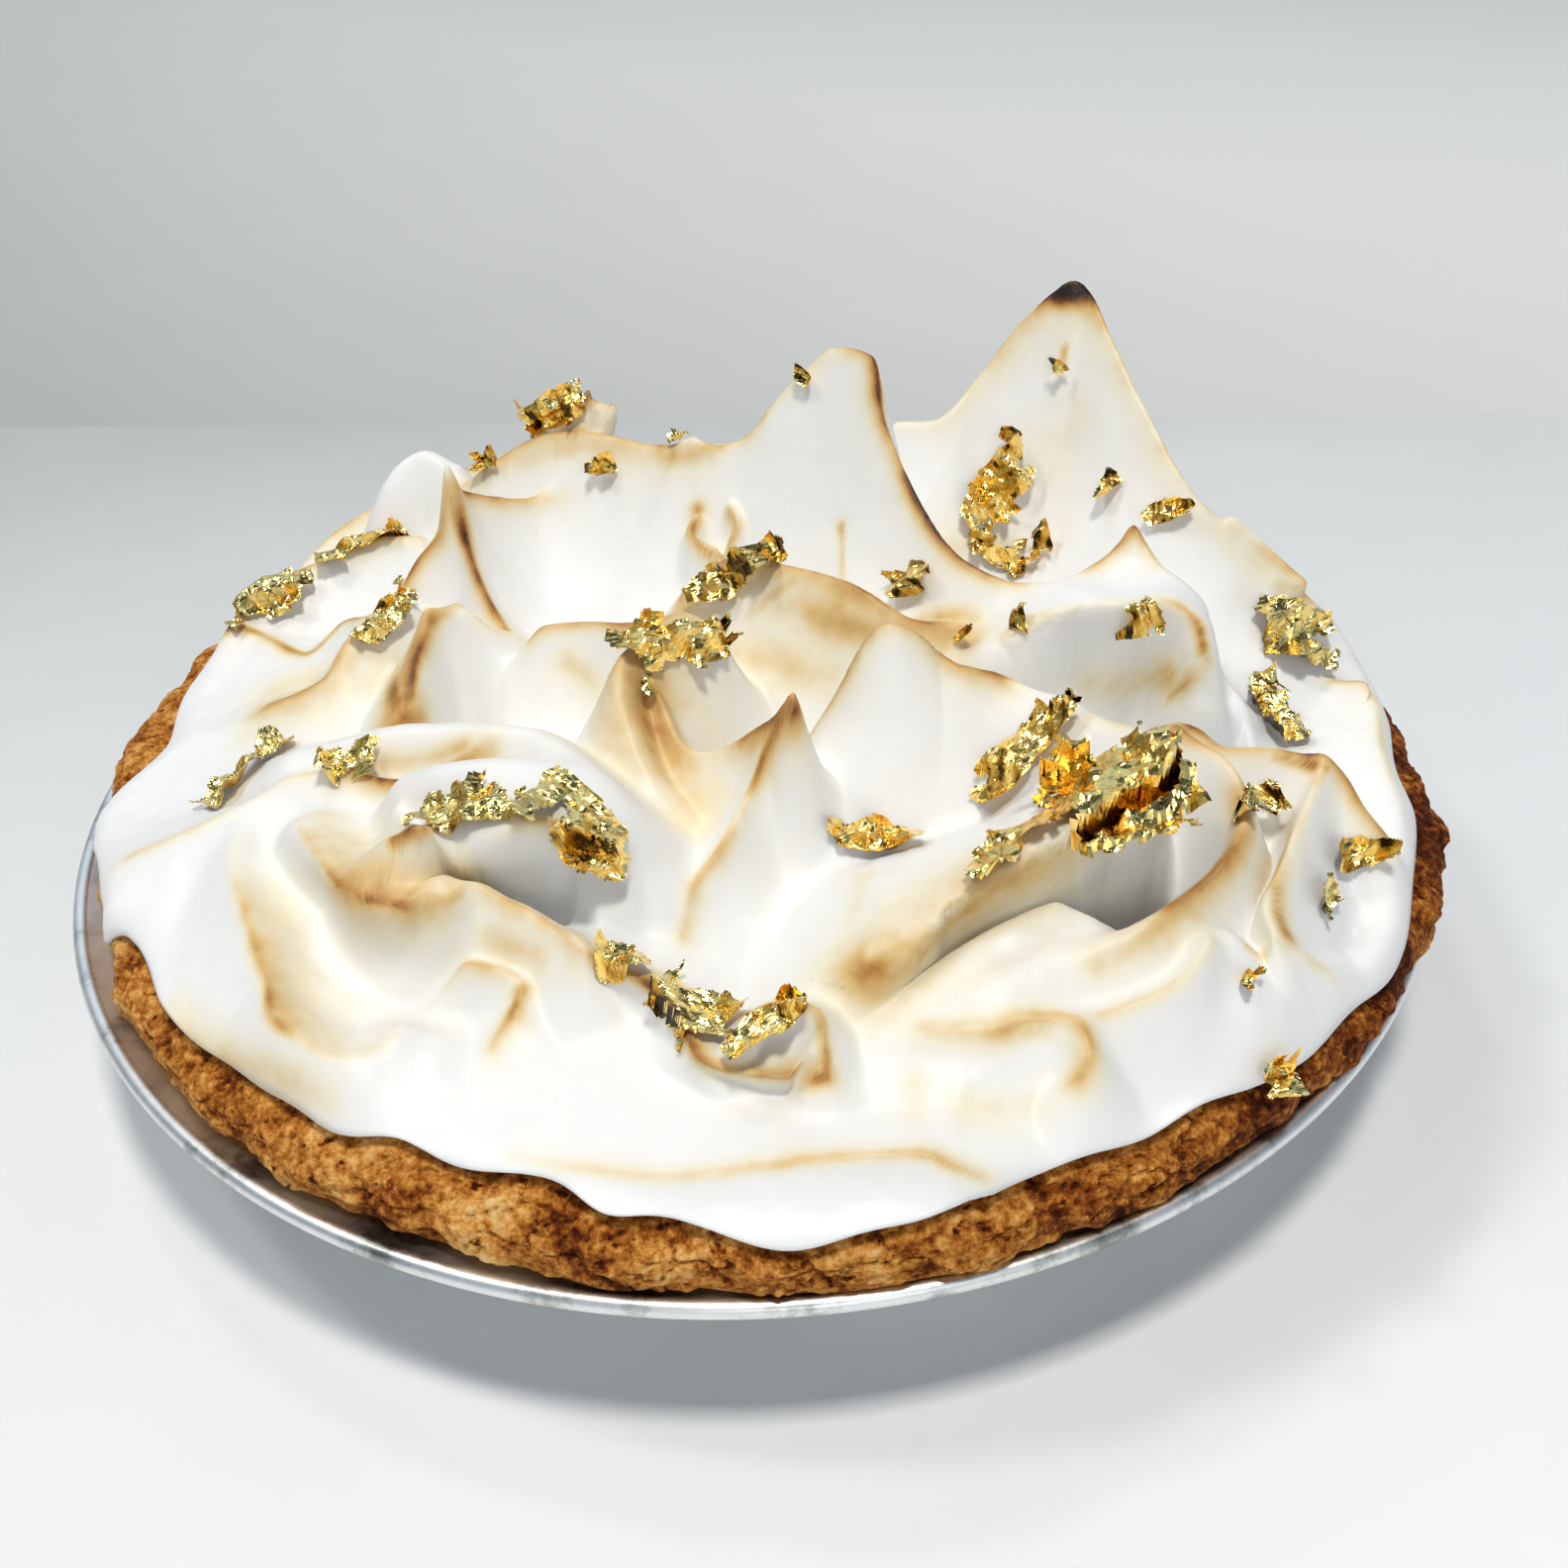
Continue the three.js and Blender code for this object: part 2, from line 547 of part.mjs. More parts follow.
// How high one crest lifts the meringue above its dome at a point of the plan, and what
// share of its lean is felt there: none at the foot of the flank or where the crest begins
function crestLift(crest, x, y) {
  let best = 0;
  let carry = 0;
  for (let i = 0; i + 1 < crest.run.length; i += 1) {
    const a = crest.run[i];
    const b = crest.run[i + 1];
    const dx = b[0] - a[0];
    const dy = b[1] - a[1];
    const long = Math.hypot(dx, dy) + 1e-9;
    const t = clamp01(((x - a[0]) * dx + (y - a[1]) * dy) / long ** 2);
    const ex = x - a[0] - t * dx;
    const ey = y - a[1] - t * dy;
    const away = Math.hypot(ex, ey);
    const side = (dx * ey - dy * ex) / long / Math.max(away, 1e-6);
    const toLeft = 0.5 + 0.5 * Math.min(1, Math.max(-1, 1.2 * side));
    const reach = crest.right + (crest.left - crest.right) * toLeft;
    if (away >= reach) {
      continue;
    }
    const fall = (Math.hypot(away, crest.round) - crest.round)
      / (Math.hypot(reach, crest.round) - crest.round);
    const near = clamp01(1 - fall) ** crest.power;
    const lift = Math.max(0, crest.lifts[i] + t * (crest.lifts[i + 1] - crest.lifts[i])) * near;
    if (lift > best) {
      best = lift;
      carry = near ** 2 * leanStarted(i + t);
    }
  }
  return { lift: best, carry };
}

// Where the meringue's surface lies over a point of the plan. Crests that meet blend
// softly, and a crest that leans carries the surface sideways as it rises.
function meringuePoint(x, y) {
  let total = 0;
  let leanX = 0;
  let leanY = 0;
  for (const crest of crests) {
    const { lift, carry } = crestLift(crest, x, y);
    const weight = lift ** BLEND;
    total += weight;
    leanX += weight * carry * crest.lean[0];
    leanY += weight * carry * crest.lean[1];
  }
  const share = Math.max(total, 1e-9);
  let z = domeHeight(x, y) + total ** (1 / BLEND);
  for (const hollow of HOLLOWS) {
    z -= hollowDepth(hollow, x, y);
  }
  const angle = Math.atan2(y, x);
  const edge = meringueRadius(angle);
  const r = Math.hypot(x, y);
  const inside = clamp01((edge - r) / LIP_ROUND);
  const foot = crustTop(Math.min(r, edge - 0.5), angle) + MERINGUE_REST + LIP_DEPTH;
  z = foot + Math.max(z - foot, 0.5) * Math.sqrt(1 - (1 - inside) ** 2);
  return [x + leanX / share, y + leanY / share, z];
}

function hollowDepth(hollow, x, y) {
  const dx = hollow.to[0] - hollow.from[0];
  const dy = hollow.to[1] - hollow.from[1];
  const along = ((x - hollow.from[0]) * dx + (y - hollow.from[1]) * dy) / (dx * dx + dy * dy);
  const t = clamp01(along);
  const away = Math.hypot(x - hollow.from[0] - t * dx, y - hollow.from[1] - t * dy);
  const out = clamp01(away / hollow.width);
  return hollow.depth * (1 - out * out) ** 2;
}

const crests = CRESTS.map((crest) => {
  const run = smoothPath(crest.path, CREST_STEP).map(
    ([x, y, z], i) => [
      x - crest.lean[0] * leanStarted(i),
      y - crest.lean[1] * leanStarted(i),
      z,
    ],
  );
  return { ...crest, run, lifts: run.map(([x, y, z]) => z - domeHeight(x, y)) };
});

// Mesh helpers

class Body {
  constructor() {
    this.points = [];
    this.faces = [];
  }

  point(x, y, z) {
    this.points.push([x, y, z]);
    return this.points.length - 1;
  }

  ring(count, place) {
    return Array.from({ length: count }, (_, i) => this.point(...place((i / count) * TAU)));
  }

  quad(a, b, c, d) {
    this.faces.push([a, b, c], [a, c, d]);
  }

  // A band between two rings of the same count, facing out where `upper` lies above `lower`
  band(lower, upper) {
    lower.forEach((point, i) => {
      const next = (i + 1) % lower.length;
      this.quad(point, lower[next], upper[next], upper[i]);
    });
  }

  capBelow(centre, ring) {
    ring.forEach((point, i) => this.faces.push([centre, ring[(i + 1) % ring.length], point]));
  }

  capAbove(centre, ring) {
    ring.forEach((point, i) => this.faces.push([centre, point, ring[(i + 1) % ring.length]]));
  }

  mesh(name) {
    const geometry = new THREE.BufferGeometry();
    geometry.setAttribute("position", new THREE.Float32BufferAttribute(this.points.flat(), 3));
    geometry.setIndex(this.faces.flat());
    geometry.computeVertexNormals();
    const mesh = new THREE.Mesh(geometry);
    mesh.name = name;
    return mesh;
  }
}

// A solid of revolution from a profile of [radius, height] points, lowest first, with its
// first and last point on the axis
function turned(profile, sides) {
  const body = new Body();
  const bottom = body.point(0, 0, profile[0][1]);
  const rings = profile.slice(1, -1).map(([r, z]) => body.ring(
    sides,
    (angle) => [r * Math.cos(angle), r * Math.sin(angle), z],
  ));
  const top = body.point(0, 0, profile.at(-1)[1]);
  body.capBelow(bottom, rings[0]);
  for (let i = 0; i + 1 < rings.length; i += 1) {
    body.band(rings[i], rings[i + 1]);
  }
  body.capAbove(top, rings.at(-1));
  return body;
}

function buildTin() {
  const beadCentre = [TIN_RIM_RADIUS - TIN_BEAD_RADIUS, TIN_HEIGHT - TIN_BEAD_RADIUS];
  const bead = [225, 290, 0, 90, 160].map((turn) => [
    beadCentre[0] + TIN_BEAD_RADIUS * Math.cos(turn * DEGREE),
    beadCentre[1] + TIN_BEAD_RADIUS * Math.sin(turn * DEGREE),
  ]);
  const flange = beadCentre[1] - TIN_SHEET / 2 + TIN_FLANGE_RISE;
  return turned([
    [0, 0],
    [TIN_FLOOR_RADIUS, 0],
    [TIN_MOUTH_RADIUS, flange],
    ...bead,
    [TIN_MOUTH_RADIUS - TIN_SHEET / 2, flange + TIN_SHEET],
    [TIN_FLOOR_RADIUS - TIN_SHEET / 2, TIN_SHEET],
    [0, TIN_SHEET],
  ], TIN_SIDES).mesh("tin");
}

function buildCrust() {
  const body = new Body();
  const sides = AROUND / 2;
  const floor = TIN_SHEET + GAP;
  const underside = TIN_HEIGHT + GAP;
  const plain = (r, z) => (angle) => [r * Math.cos(angle), r * Math.sin(angle), z];
  const fromEdge = (inset, z) => (angle) => {
    const r = crustRadius(angle) - inset;
    return [r * Math.cos(angle), r * Math.sin(angle), z(r, angle)];
  };
  const bottom = body.point(0, 0, floor);
  const rings = [
    body.ring(sides, plain(TIN_FLOOR_RADIUS - CRUST_FLOOR_CLEAR, floor)),
    body.ring(sides, plain(TIN_MOUTH_RADIUS - CRUST_MOUTH_CLEAR, underside - CRUST_MOUTH_DROP)),
    body.ring(sides, fromEdge(CRUST_UNDER_INSET, () => underside)),
    body.ring(sides, fromEdge(0, () => CRUST_WAIST)),
    ...CRUST_ROUND_INSETS.map((inset) => body.ring(sides, fromEdge(inset, crustTop))),
  ];
  const top = body.point(0, 0, CRUST_FILL);
  body.capBelow(bottom, rings[0]);
  for (let i = 0; i + 1 < rings.length; i += 1) {
    body.band(rings[i], rings[i + 1]);
  }
  body.capAbove(top, rings.at(-1));
  return body.mesh("crust");
}

// Meringue

// The plan is a square grid pressed into a disc. Grid points next to a crest are moved
// onto it, so that the crest stays sharp.
function planPoint(u, v) {
  const out = Math.max(Math.abs(u), Math.abs(v));
  if (out === 0) {
    return [0, 0];
  }
  let angle;
  if (Math.abs(u) >= Math.abs(v)) {
    angle = (Math.PI / 4) * (v / u) + (u < 0 ? Math.PI : 0);
  } else {
    angle = (v < 0 ? -Math.PI / 2 : Math.PI / 2) - (Math.PI / 4) * (u / v);
  }
  const wrapped = Math.atan2(Math.sin(angle), Math.cos(angle));
  const r = out * meringueRadius(wrapped);
  return [r * Math.cos(angle), r * Math.sin(angle)];
}

function planGrid() {
  const grid = [];
  for (let row = 0; row <= GRID; row += 1) {
    for (let column = 0; column <= GRID; column += 1) {
      const inner = row > 0 && row < GRID && column > 0 && column < GRID;
      grid.push({
        plan: planPoint((2 * column) / GRID - 1, (2 * row) / GRID - 1),
        inner,
        moved: GRID_MOVE,
        target: null,
      });
    }
  }
  for (const crest of crests) {
    for (const [x, y] of crest.run) {
      let nearest = null;
      let least = Infinity;
      for (const cell of grid) {
        const away = Math.hypot(cell.plan[0] - x, cell.plan[1] - y);
        if (away < least) {
          least = away;
          nearest = cell;
        }
      }
      if (nearest.inner && least < nearest.moved) {
        nearest.moved = least;
        nearest.target = [x, y];
      }
    }
  }
  return grid.map((cell) => cell.target ?? cell.plan);
}

function buildMeringue() {
  const body = new Body();
  const plan = planGrid();
  plan.forEach(([x, y]) => body.point(...meringuePoint(x, y)));
  const at = (column, row) => row * (GRID + 1) + column;
  for (let row = 0; row < GRID; row += 1) {
    for (let column = 0; column < GRID; column += 1) {
      const a = at(column, row);
      const b = at(column + 1, row);
      const c = at(column + 1, row + 1);
      const d = at(column, row + 1);
      if (shorterAcross(plan, body.points, a, b, c, d)) {
        body.quad(a, b, c, d);
      } else {
        body.quad(b, c, d, a);
      }
    }
  }

  // The rim of the grid, counted round from the angle -180 degrees
  const rim = [];
  for (let row = GRID / 2; row > 0; row -= 1) {
    rim.push(at(0, row));
  }
  for (let column = 0; column < GRID; column += 1) {
    rim.push(at(column, 0));
  }
  for (let row = 0; row < GRID; row += 1) {
    rim.push(at(GRID, row));
  }
  for (let column = GRID; column > 0; column -= 1) {
    rim.push(at(column, GRID));
  }
  for (let row = GRID; row > GRID / 2; row -= 1) {
    rim.push(at(0, row));
  }
  const under = (count, radius) => body.ring(count, (turn) => {
    const angle = turn - Math.PI;
    const r = radius(angle);
    return [r * Math.cos(angle), r * Math.sin(angle), crustTop(r, angle) + MERINGUE_REST];
  });
  const half = AROUND / 2;
  const lip = under(AROUND, (angle) => meringueRadius(angle) - LIP_UNDER_INSET);
  const below = UNDER_INSETS.map(([fromCrust, fromOwn]) => under(
    half,
    (angle) => Math.min(crustRadius(angle) - fromCrust, meringueRadius(angle) - fromOwn),
  ));
  below.push(under(half, (angle) => crustRadius(angle) - CRUST_SHOULDER - CRUST_INNER_SLOPE));
  body.band(lip, rim);
  lip.forEach((point, i) => {
    const next = lip[(i + 1) % AROUND];
    const near = below[0][Math.floor((i + 1) / 2) % half];
    body.faces.push([near, next, point]);
    if (i % 2 === 1) {
      body.faces.push([below[0][(i - 1) / 2], near, point]);
    }
  });
  for (let i = 0; i + 1 < below.length; i += 1) {
    body.band(below[i + 1], below[i]);
  }
  body.capBelow(body.point(0, 0, CRUST_FILL + MERINGUE_REST), below.at(-1));
  return body;
}

// True where the diagonal from a to c follows the surface better than the one from b to d
function shorterAcross(plan, points, a, b, c, d) {
  const middle = [a, b, c, d].map((i) => plan[i]).reduce(
    (sum, [x, y]) => [sum[0] + x / 4, sum[1] + y / 4],
    [0, 0],
  );
  const height = meringuePoint(...middle)[2];
  const first = Math.abs((points[a][2] + points[c][2]) / 2 - height);
  const second = Math.abs((points[b][2] + points[d][2]) / 2 - height);
  return first < second;
}

// Gold

// A run of even random numbers from 0 to 1, the same every time for one seed
function randomRun(seed) {
  let state = (seed * 2654435761) >>> 0;
  return () => {
    state = (Math.imul(state, 1664525) + 1013904223) >>> 0;
    return state / 2 ** 32;
  };
}

// Finds how far it is along a direction to the part of a body near one place
function surfaceFinder(body, middle, reach) {
  const triangles = body.faces
    .map((face) => face.map((i) => new THREE.Vector3(...body.points[i])))
    .filter((corners) => corners.some((corner) => corner.distanceTo(middle) < reach));
  const ray = new THREE.Ray();
  const hit = new THREE.Vector3();
  return (start, direction, farthest) => {
    ray.set(start, direction);
    let least = farthest;
    for (const [a, b, c] of triangles) {
      if (ray.intersectTriangle(a, b, c, true, hit)) {
        least = Math.min(least, hit.distanceTo(start));
      }
    }
    return least;
  };
}

// Raises the corners of a facet until all of it lies clear of the surface below
function liftFacet(facet, spots, rises, level) {
  for (let i = 0; i <= LEAF_SAMPLES; i += 1) {
    for (let j = 0; i + j <= LEAF_SAMPLES; j += 1) {
      const share = [i, j, LEAF_SAMPLES - i - j].map((part) => part / LEAF_SAMPLES);
      const mix = (values) => values.reduce((sum, value, k) => sum + value * share[k], 0);
      const surface = level(
        mix(facet.map((k) => spots[k].u)),
        mix(facet.map((k) => spots[k].v)),
      );
      const short = surface === null
        ? 0
        : surface + LEAF_CLEAR - mix(facet.map((k) => rises[k]));
      if (short > 0) {
        facet.forEach((k) => {
          rises[k] += short;
        });
      }
    }
  }
}

// One crumpled leaf: a ragged patch laid on the meringue, a little clear of it
function buildLeaf(leaf, index, meringue) {
  const random = randomRun(index + 1);
  const facing = new THREE.Vector3(...leaf.facing).normalize();
  const along = new THREE.Vector3(...leaf.along);
  const length = along.length();
  along.addScaledVector(facing, -along.dot(facing)).normalize();
  const across = new THREE.Vector3().crossVectors(facing, along);
  const down = facing.clone().negate();
  const middle = new THREE.Vector3(...leaf.at);
  const findSurface = surfaceFinder(meringue, middle, length + LEAF_SEARCH + LEAF_SPARE);
  const place = (u, v, lift) => middle.clone()
    .addScaledVector(along, u)
    .addScaledVector(across, v)
    .addScaledVector(facing, lift);
  const level = (u, v) => {
    const fall = findSurface(place(u, v, LEAF_SEARCH), down, 2 * LEAF_SEARCH);
    return fall < 2 * LEAF_SEARCH ? LEAF_SEARCH - fall : null;
  };
  const stepU = length / LEAF_CELLS_LONG;
  const stepV = leaf.width / LEAF_CELLS_WIDE;
  const spots = [];
  for (let j = 0; j <= LEAF_CELLS_WIDE; j += 1) {
    for (let i = 0; i <= LEAF_CELLS_LONG; i += 1) {
      const narrow = 1 - LEAF_NARROWING * Math.abs((2 * i) / LEAF_CELLS_LONG - 1) ** 2;
      const u = (i - LEAF_CELLS_LONG / 2 + LEAF_RAGGED * (random() - 0.5)) * stepU;
      const v = (j - LEAF_CELLS_WIDE / 2 + LEAF_RAGGED * (random() - 0.5)) * stepV * narrow;
      spots.push({ u, v, crumple: LEAF_CRUMPLE * random() ** 2 });
    }
  }
  const heights = spots.map(({ u, v }) => LEAF_LOOK_AROUND
    .map(([du, dv]) => level(u + LEAF_LOOK * du * stepU, v + LEAF_LOOK * dv * stepV))
    .filter((height) => height !== null));
  const known = heights.flat();
  const usual = known.reduce((sum, height) => sum + height, 0) / known.length;
  const rises = spots.map(({ crumple }, k) => {
    const rest = heights[k].length > 0 ? Math.max(...heights[k]) : usual;
    return rest + LEAF_CLEAR + crumple;
  });
  const row = LEAF_CELLS_LONG + 1;
  const facets = [];
  for (let j = 0; j < LEAF_CELLS_WIDE; j += 1) {
    for (let i = 0; i < LEAF_CELLS_LONG; i += 1) {
      const a = j * row + i;
      facets.push([a, a + 1, a + row + 1], [a, a + row + 1, a + row]);
    }
  }
  for (let pass = 0; pass < LEAF_PASSES; pass += 1) {
    facets.forEach((facet) => liftFacet(facet, spots, rises, level));
  }
  const body = new Body();
  const sheet = (extra) => spots.map(({ u, v }, k) => {
    const point = place(u, v, rises[k] + extra);
    return body.point(point.x, point.y, point.z);
  });
  const lower = sheet(0);
  const upper = sheet(LEAF_THICKNESS);
  facets.forEach(([p, q, r]) => {
    body.faces.push([upper[p], upper[q], upper[r]], [lower[p], lower[r], lower[q]]);
  });
  const edge = [];
  for (let i = 0; i < LEAF_CELLS_LONG; i += 1) {
    edge.push(i);
  }
  for (let j = 0; j < LEAF_CELLS_WIDE; j += 1) {
    edge.push(j * row + LEAF_CELLS_LONG);
  }
  for (let i = LEAF_CELLS_LONG; i > 0; i -= 1) {
    edge.push(LEAF_CELLS_WIDE * row + i);
  }
  for (let j = LEAF_CELLS_WIDE; j > 0; j -= 1) {
    edge.push(j * row);
  }
  body.band(edge.map((k) => lower[k]), edge.map((k) => upper[k]));
  return body.mesh(`gold_leaf_${String(index + 1).padStart(2, "0")}`);
}

// Small flecks, fused to the meringue that they lie on
function withFlecks(meringue) {
  const flecks = FLECKS.map((fleck, index) => {
    const random = randomRun(100 + index);
    const [x, y] = fleck.at;
    const above = new THREE.Vector3(x, y, FLECK_DROP);
    const findSurface = surfaceFinder(meringue, above, FLECK_DROP);
    const z = FLECK_DROP - findSurface(above, new THREE.Vector3(0, 0, -1), FLECK_DROP);
    const body = new Body();
    const outline = Array.from({ length: FLECK_CORNERS }, (_, i) => ({
      angle: (i / FLECK_CORNERS) * TAU,
      r: (fleck.size / 2) * FLECK_RAGGED * (1 + random()),
      lift: FLECK_CURL * random(),
    }));
    const ring = (height, share) => outline.map(({ angle, r, lift }) => body.point(
      x + r * Math.cos(angle),
      y + r * Math.sin(angle),
      z + height + share * lift,
    ));
    const lower = ring(-FLECK_THICKNESS, 0);
    const upper = ring(FLECK_THICKNESS, 1);
    body.capBelow(body.point(x, y, z - FLECK_THICKNESS), lower);
    body.band(lower, upper);
    body.capAbove(body.point(x, y, z + FLECK_THICKNESS), upper);
    return toManifold(body);
  });
  const joined = Manifold.union([toManifold(meringue), ...flecks]).getMesh();
  const body = new Body();
  for (let i = 0; i < joined.vertProperties.length; i += joined.numProp) {
    body.point(...joined.vertProperties.slice(i, i + 3));
  }
  for (let i = 0; i < joined.triVerts.length; i += 3) {
    body.faces.push([...joined.triVerts.slice(i, i + 3)]);
  }
  return body;
}

function toManifold(body) {
  return new Manifold(new Mesh({
    numProp: 3,
    vertProperties: new Float32Array(body.points.flat()),
    triVerts: new Uint32Array(body.faces.flat()),
  }));
}

const meringue = withFlecks(buildMeringue());

const group = new THREE.Group();
group.add(buildTin());
group.add(buildCrust());
group.add(meringue.mesh("meringue"));
LEAVES.forEach((leaf, index) => group.add(buildLeaf(leaf, index, meringue)));
export default group;
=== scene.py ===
import math

import bpy
import numpy as np
from mathutils import Matrix, Vector
from mathutils.bvhtree import BVHTree


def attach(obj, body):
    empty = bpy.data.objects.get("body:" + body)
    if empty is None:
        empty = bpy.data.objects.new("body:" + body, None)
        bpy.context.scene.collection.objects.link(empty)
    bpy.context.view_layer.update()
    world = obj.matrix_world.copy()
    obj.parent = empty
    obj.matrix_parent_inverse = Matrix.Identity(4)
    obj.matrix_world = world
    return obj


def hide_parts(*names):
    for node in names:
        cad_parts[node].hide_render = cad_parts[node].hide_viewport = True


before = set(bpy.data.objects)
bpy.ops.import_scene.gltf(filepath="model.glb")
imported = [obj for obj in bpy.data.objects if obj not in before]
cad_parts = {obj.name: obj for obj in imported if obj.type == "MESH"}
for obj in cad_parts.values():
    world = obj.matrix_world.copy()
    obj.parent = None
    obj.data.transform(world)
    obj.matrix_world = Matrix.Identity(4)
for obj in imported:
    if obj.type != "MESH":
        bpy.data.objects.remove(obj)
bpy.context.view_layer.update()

# A citrus meringue pie in its tin. The form is worked out in millimetres, as the solids are,
# and turned into metres where each mesh is made.

MM = 0.001
BODY = "root"
# Clearance between pieces that lie on each other
GAP = 0.35

# Tin
TIN_SHEET = 0.6
TIN_FLOOR_RADIUS = 88
TIN_MOUTH_RADIUS = 109
TIN_HEIGHT = 30
TIN_BEAD_RADIUS = 1.5
TIN_RIM_RADIUS = 121
TIN_FLANGE_RISE = 0.3
TIN_SIDES = 360
# The tiny ring that closes the floor's middle
TIN_MIDDLE = 0.01
# Rounded corners of the sheet, as steps out and up: outside at the floor and at the flange,
# then inside at the flange and at the floor
TIN_FOOT = ((-4, 0), (-1, 0.3), (0, 1.2))
TIN_BEND = ((-0.6, -0.8), (0, -0.1), (1, 0))
TIN_INNER_BEND = ((1, 0), (-1, -0.3))
TIN_INNER_FOOT = ((-0.3, 0.8), (-3, 0))
# The rolled rim's turn in degrees: start, end and step
TIN_BEAD_TURN = (200, 520, 16)

# Crust: outer radius every 15 degrees, counted from -180 degrees
CRUST_RADII = (
    117, 115, 116, 117.5, 117.5, 119, 120.5, 121, 120, 120.5, 121.5, 122,
    119, 118, 118, 118.5, 118, 118, 118, 118.5, 118, 118, 117, 117,
)
CRUST_TOP = 40
CRUST_WAIST = 35
CRUST_FILL = 36
CRUST_SHOULDER = 8.5
CRUST_INNER_SLOPE = 10
CRUST_AROUND = 1500
# Lumps round the crust: size, count and start of each wave, how much of them its side and
# its top have, and how far on those of the top are turned
CRUST_WAVES = ((0.6, 17, 0.5), (0.5, 29, 1.9), (0.35, 43, 0.7))
CRUST_SIDE_LUMPS = 0.8
CRUST_TOP_LUMPS = 0.7
CRUST_TOP_SHIFT = 0.3
# Rows of the covered underside: radius and height of the two inside the tin, then steps in
# from the crust's outer edge and up from the tin
CRUST_FOOT = ((TIN_FLOOR_RADIUS - 1.2, TIN_SHEET + GAP),
              (TIN_MOUTH_RADIUS - 1.6, TIN_HEIGHT + 0.15))
CRUST_UNDER = ((3, GAP), (1.6, 0.6))
# The side below the waist is part of an ellipse, this wide and high
CRUST_SIDE_ROUND = (1.6, 4.2 / 0.87)
# First, last and number of the rows above: turns in degrees round the side and the
# shoulder, and steps in from the outer edge on the inner slope
CRUST_SIDE_TURN = (-60, 0, 10)
CRUST_SHOULDER_TURN = (3, 90, 26)
CRUST_SLOPE_INSETS = (CRUST_SHOULDER + 0.8, CRUST_SHOULDER + CRUST_INNER_SLOPE, 12)
# How far up the relief points, at the first and the last row of the side and of the top
CRUST_SIDE_LEAN = (-0.4, 0)
CRUST_TOP_LEAN = (0.1, 1.6)
# Relief of the baked crust, each of its noises as strength, size, layers and seed. Ropes of
# pastry come first, parted by slanting creases: the radius at which their length counts, how
# much they slant, their length and height, how round they are, and what level is their zero
ROPE_RADIUS = 118
ROPE_SLANT = 0.8
ROPE_LENGTH = 13
ROPE_HEIGHT = 1.1
ROPE_POWER = 0.5
ROPE_LEVEL = 0.75
ROPE_WANDER = (2.5, 16, 1, 3)
ROPE_UNEVEN = (2, 30, 1, 5)
# Then cracks, flakes and broad swellings, and how far all of it is set back and may stand out
CRUST_STRETCH = (1, 1, 2.2)
CRACK_NOISE = (1, 7, 3, 11)
CRACK_START = 0.9
CRACK_DEPTH = 1.0
CRACK_POWER = 1.5
FLAKE_NOISE = (0.6, 3.2, 4, 21)
SWELL_NOISE = (0.7, 18, 1, 31)
CRUST_SETTLE = 0.35
CRUST_PROUD = 1.2
# How pale the crust is: as baked in the mean, paler on its lumps and darker in its cracks as
# painted highlight and shade for each millimetre of relief, as baked here and there, and how
# much painted shade darkens it at the right, from where and over what width
CRUST_PALE = 0.6
CRUST_RELIEF_LIGHT_AND_SHADE = 0.3
CRUST_BLUSH = (0.2, 9, 1, 41)
CRUST_RIGHT_SHADE = 0.5
CRUST_RIGHT_SHADE_FROM = (30, 60)

# Meringue: edge radius every 15 degrees, counted from -180 degrees
MERINGUE_RADII = (
    107, 113, 112.5, 112.5, 111.5, 110.5, 117, 117, 116.5, 118, 118, 115.5,
    114, 114, 113, 113, 113, 113, 112.5, 112, 112, 112, 110, 107,
)
# Waves in its edge: size, count and start
EDGE_RIPPLES = ((0.8, 13, 1), (0.6, 23, 2))
# Where the meringue hangs out over the crust: direction and width in degrees, and how far
DRIPS = ((-171, 5, 4.5), (-156, 1.5, 2), (-121, 4, 2.8), (-100, 3, 4), (-88.5, 5, 3), (-38, 6, 3))
MERINGUE_REST = 0.8
MERINGUE_EDGE_HEIGHT = 42
MERINGUE_MIDDLE_RISE = 10
MERINGUE_DOME_RADIUS = 116
MERINGUE_DOME_POWER = 2.6
# Rows of its underside: how far in from its edge, and how far above the crust
MERINGUE_UNDER = ((0.6, MERINGUE_REST + 0.9), (1.5, MERINGUE_REST), (4, MERINGUE_REST),
                  (7, MERINGUE_REST))
# Its lip: over what width it is rounded, how thick it is at the edge, and its least rise
LIP_ROUND = 5
LIP_DEPTH = 1.6
LIP_LEAST = 0.5
# Crests: how sharply they blend, the step along their paths, how quickly left turns to right
# across one, over what length it begins to lean, and how far its path may leave its points
BLEND = 6
CREST_STEP = 1.0
CREST_SHARPNESS = 1.2
LEAN_RUN = 14
PATH_MARGIN = 12
GRID = 440
SOFT_PASSES = 2
# Small ripples of the surface, each with strength, size, layers and seed, and how far in
# from the edge they have their full strength
RIPPLES = ((0.45, 14, 3, 51), (0.14, 3.2, 1, 61), (0.05, 1.4, 1, 62))
RIPPLE_START = 4

# Toast: the width and strength of the thin dark line along a crest, the strength of the wash
# and of the faint haze beside it, how much wider the haze is, and how many times the wash's
# width away the brown ends
TOAST_LINE = 0.8
TOAST_LINE_TONE = 0.25
TOAST_WASH = 0.65
TOAST_HAZE = 0.08
TOAST_HAZE_REACH = 3
TOAST_REACH = 5
TOAST_FALL = 1.5
TOAST_STEP = 1.5
TOAST_SHARPNESS = 2
TOAST_WANDER = ((0.45, 9, 3, 71), (0.15, 1.6, 1, 81))

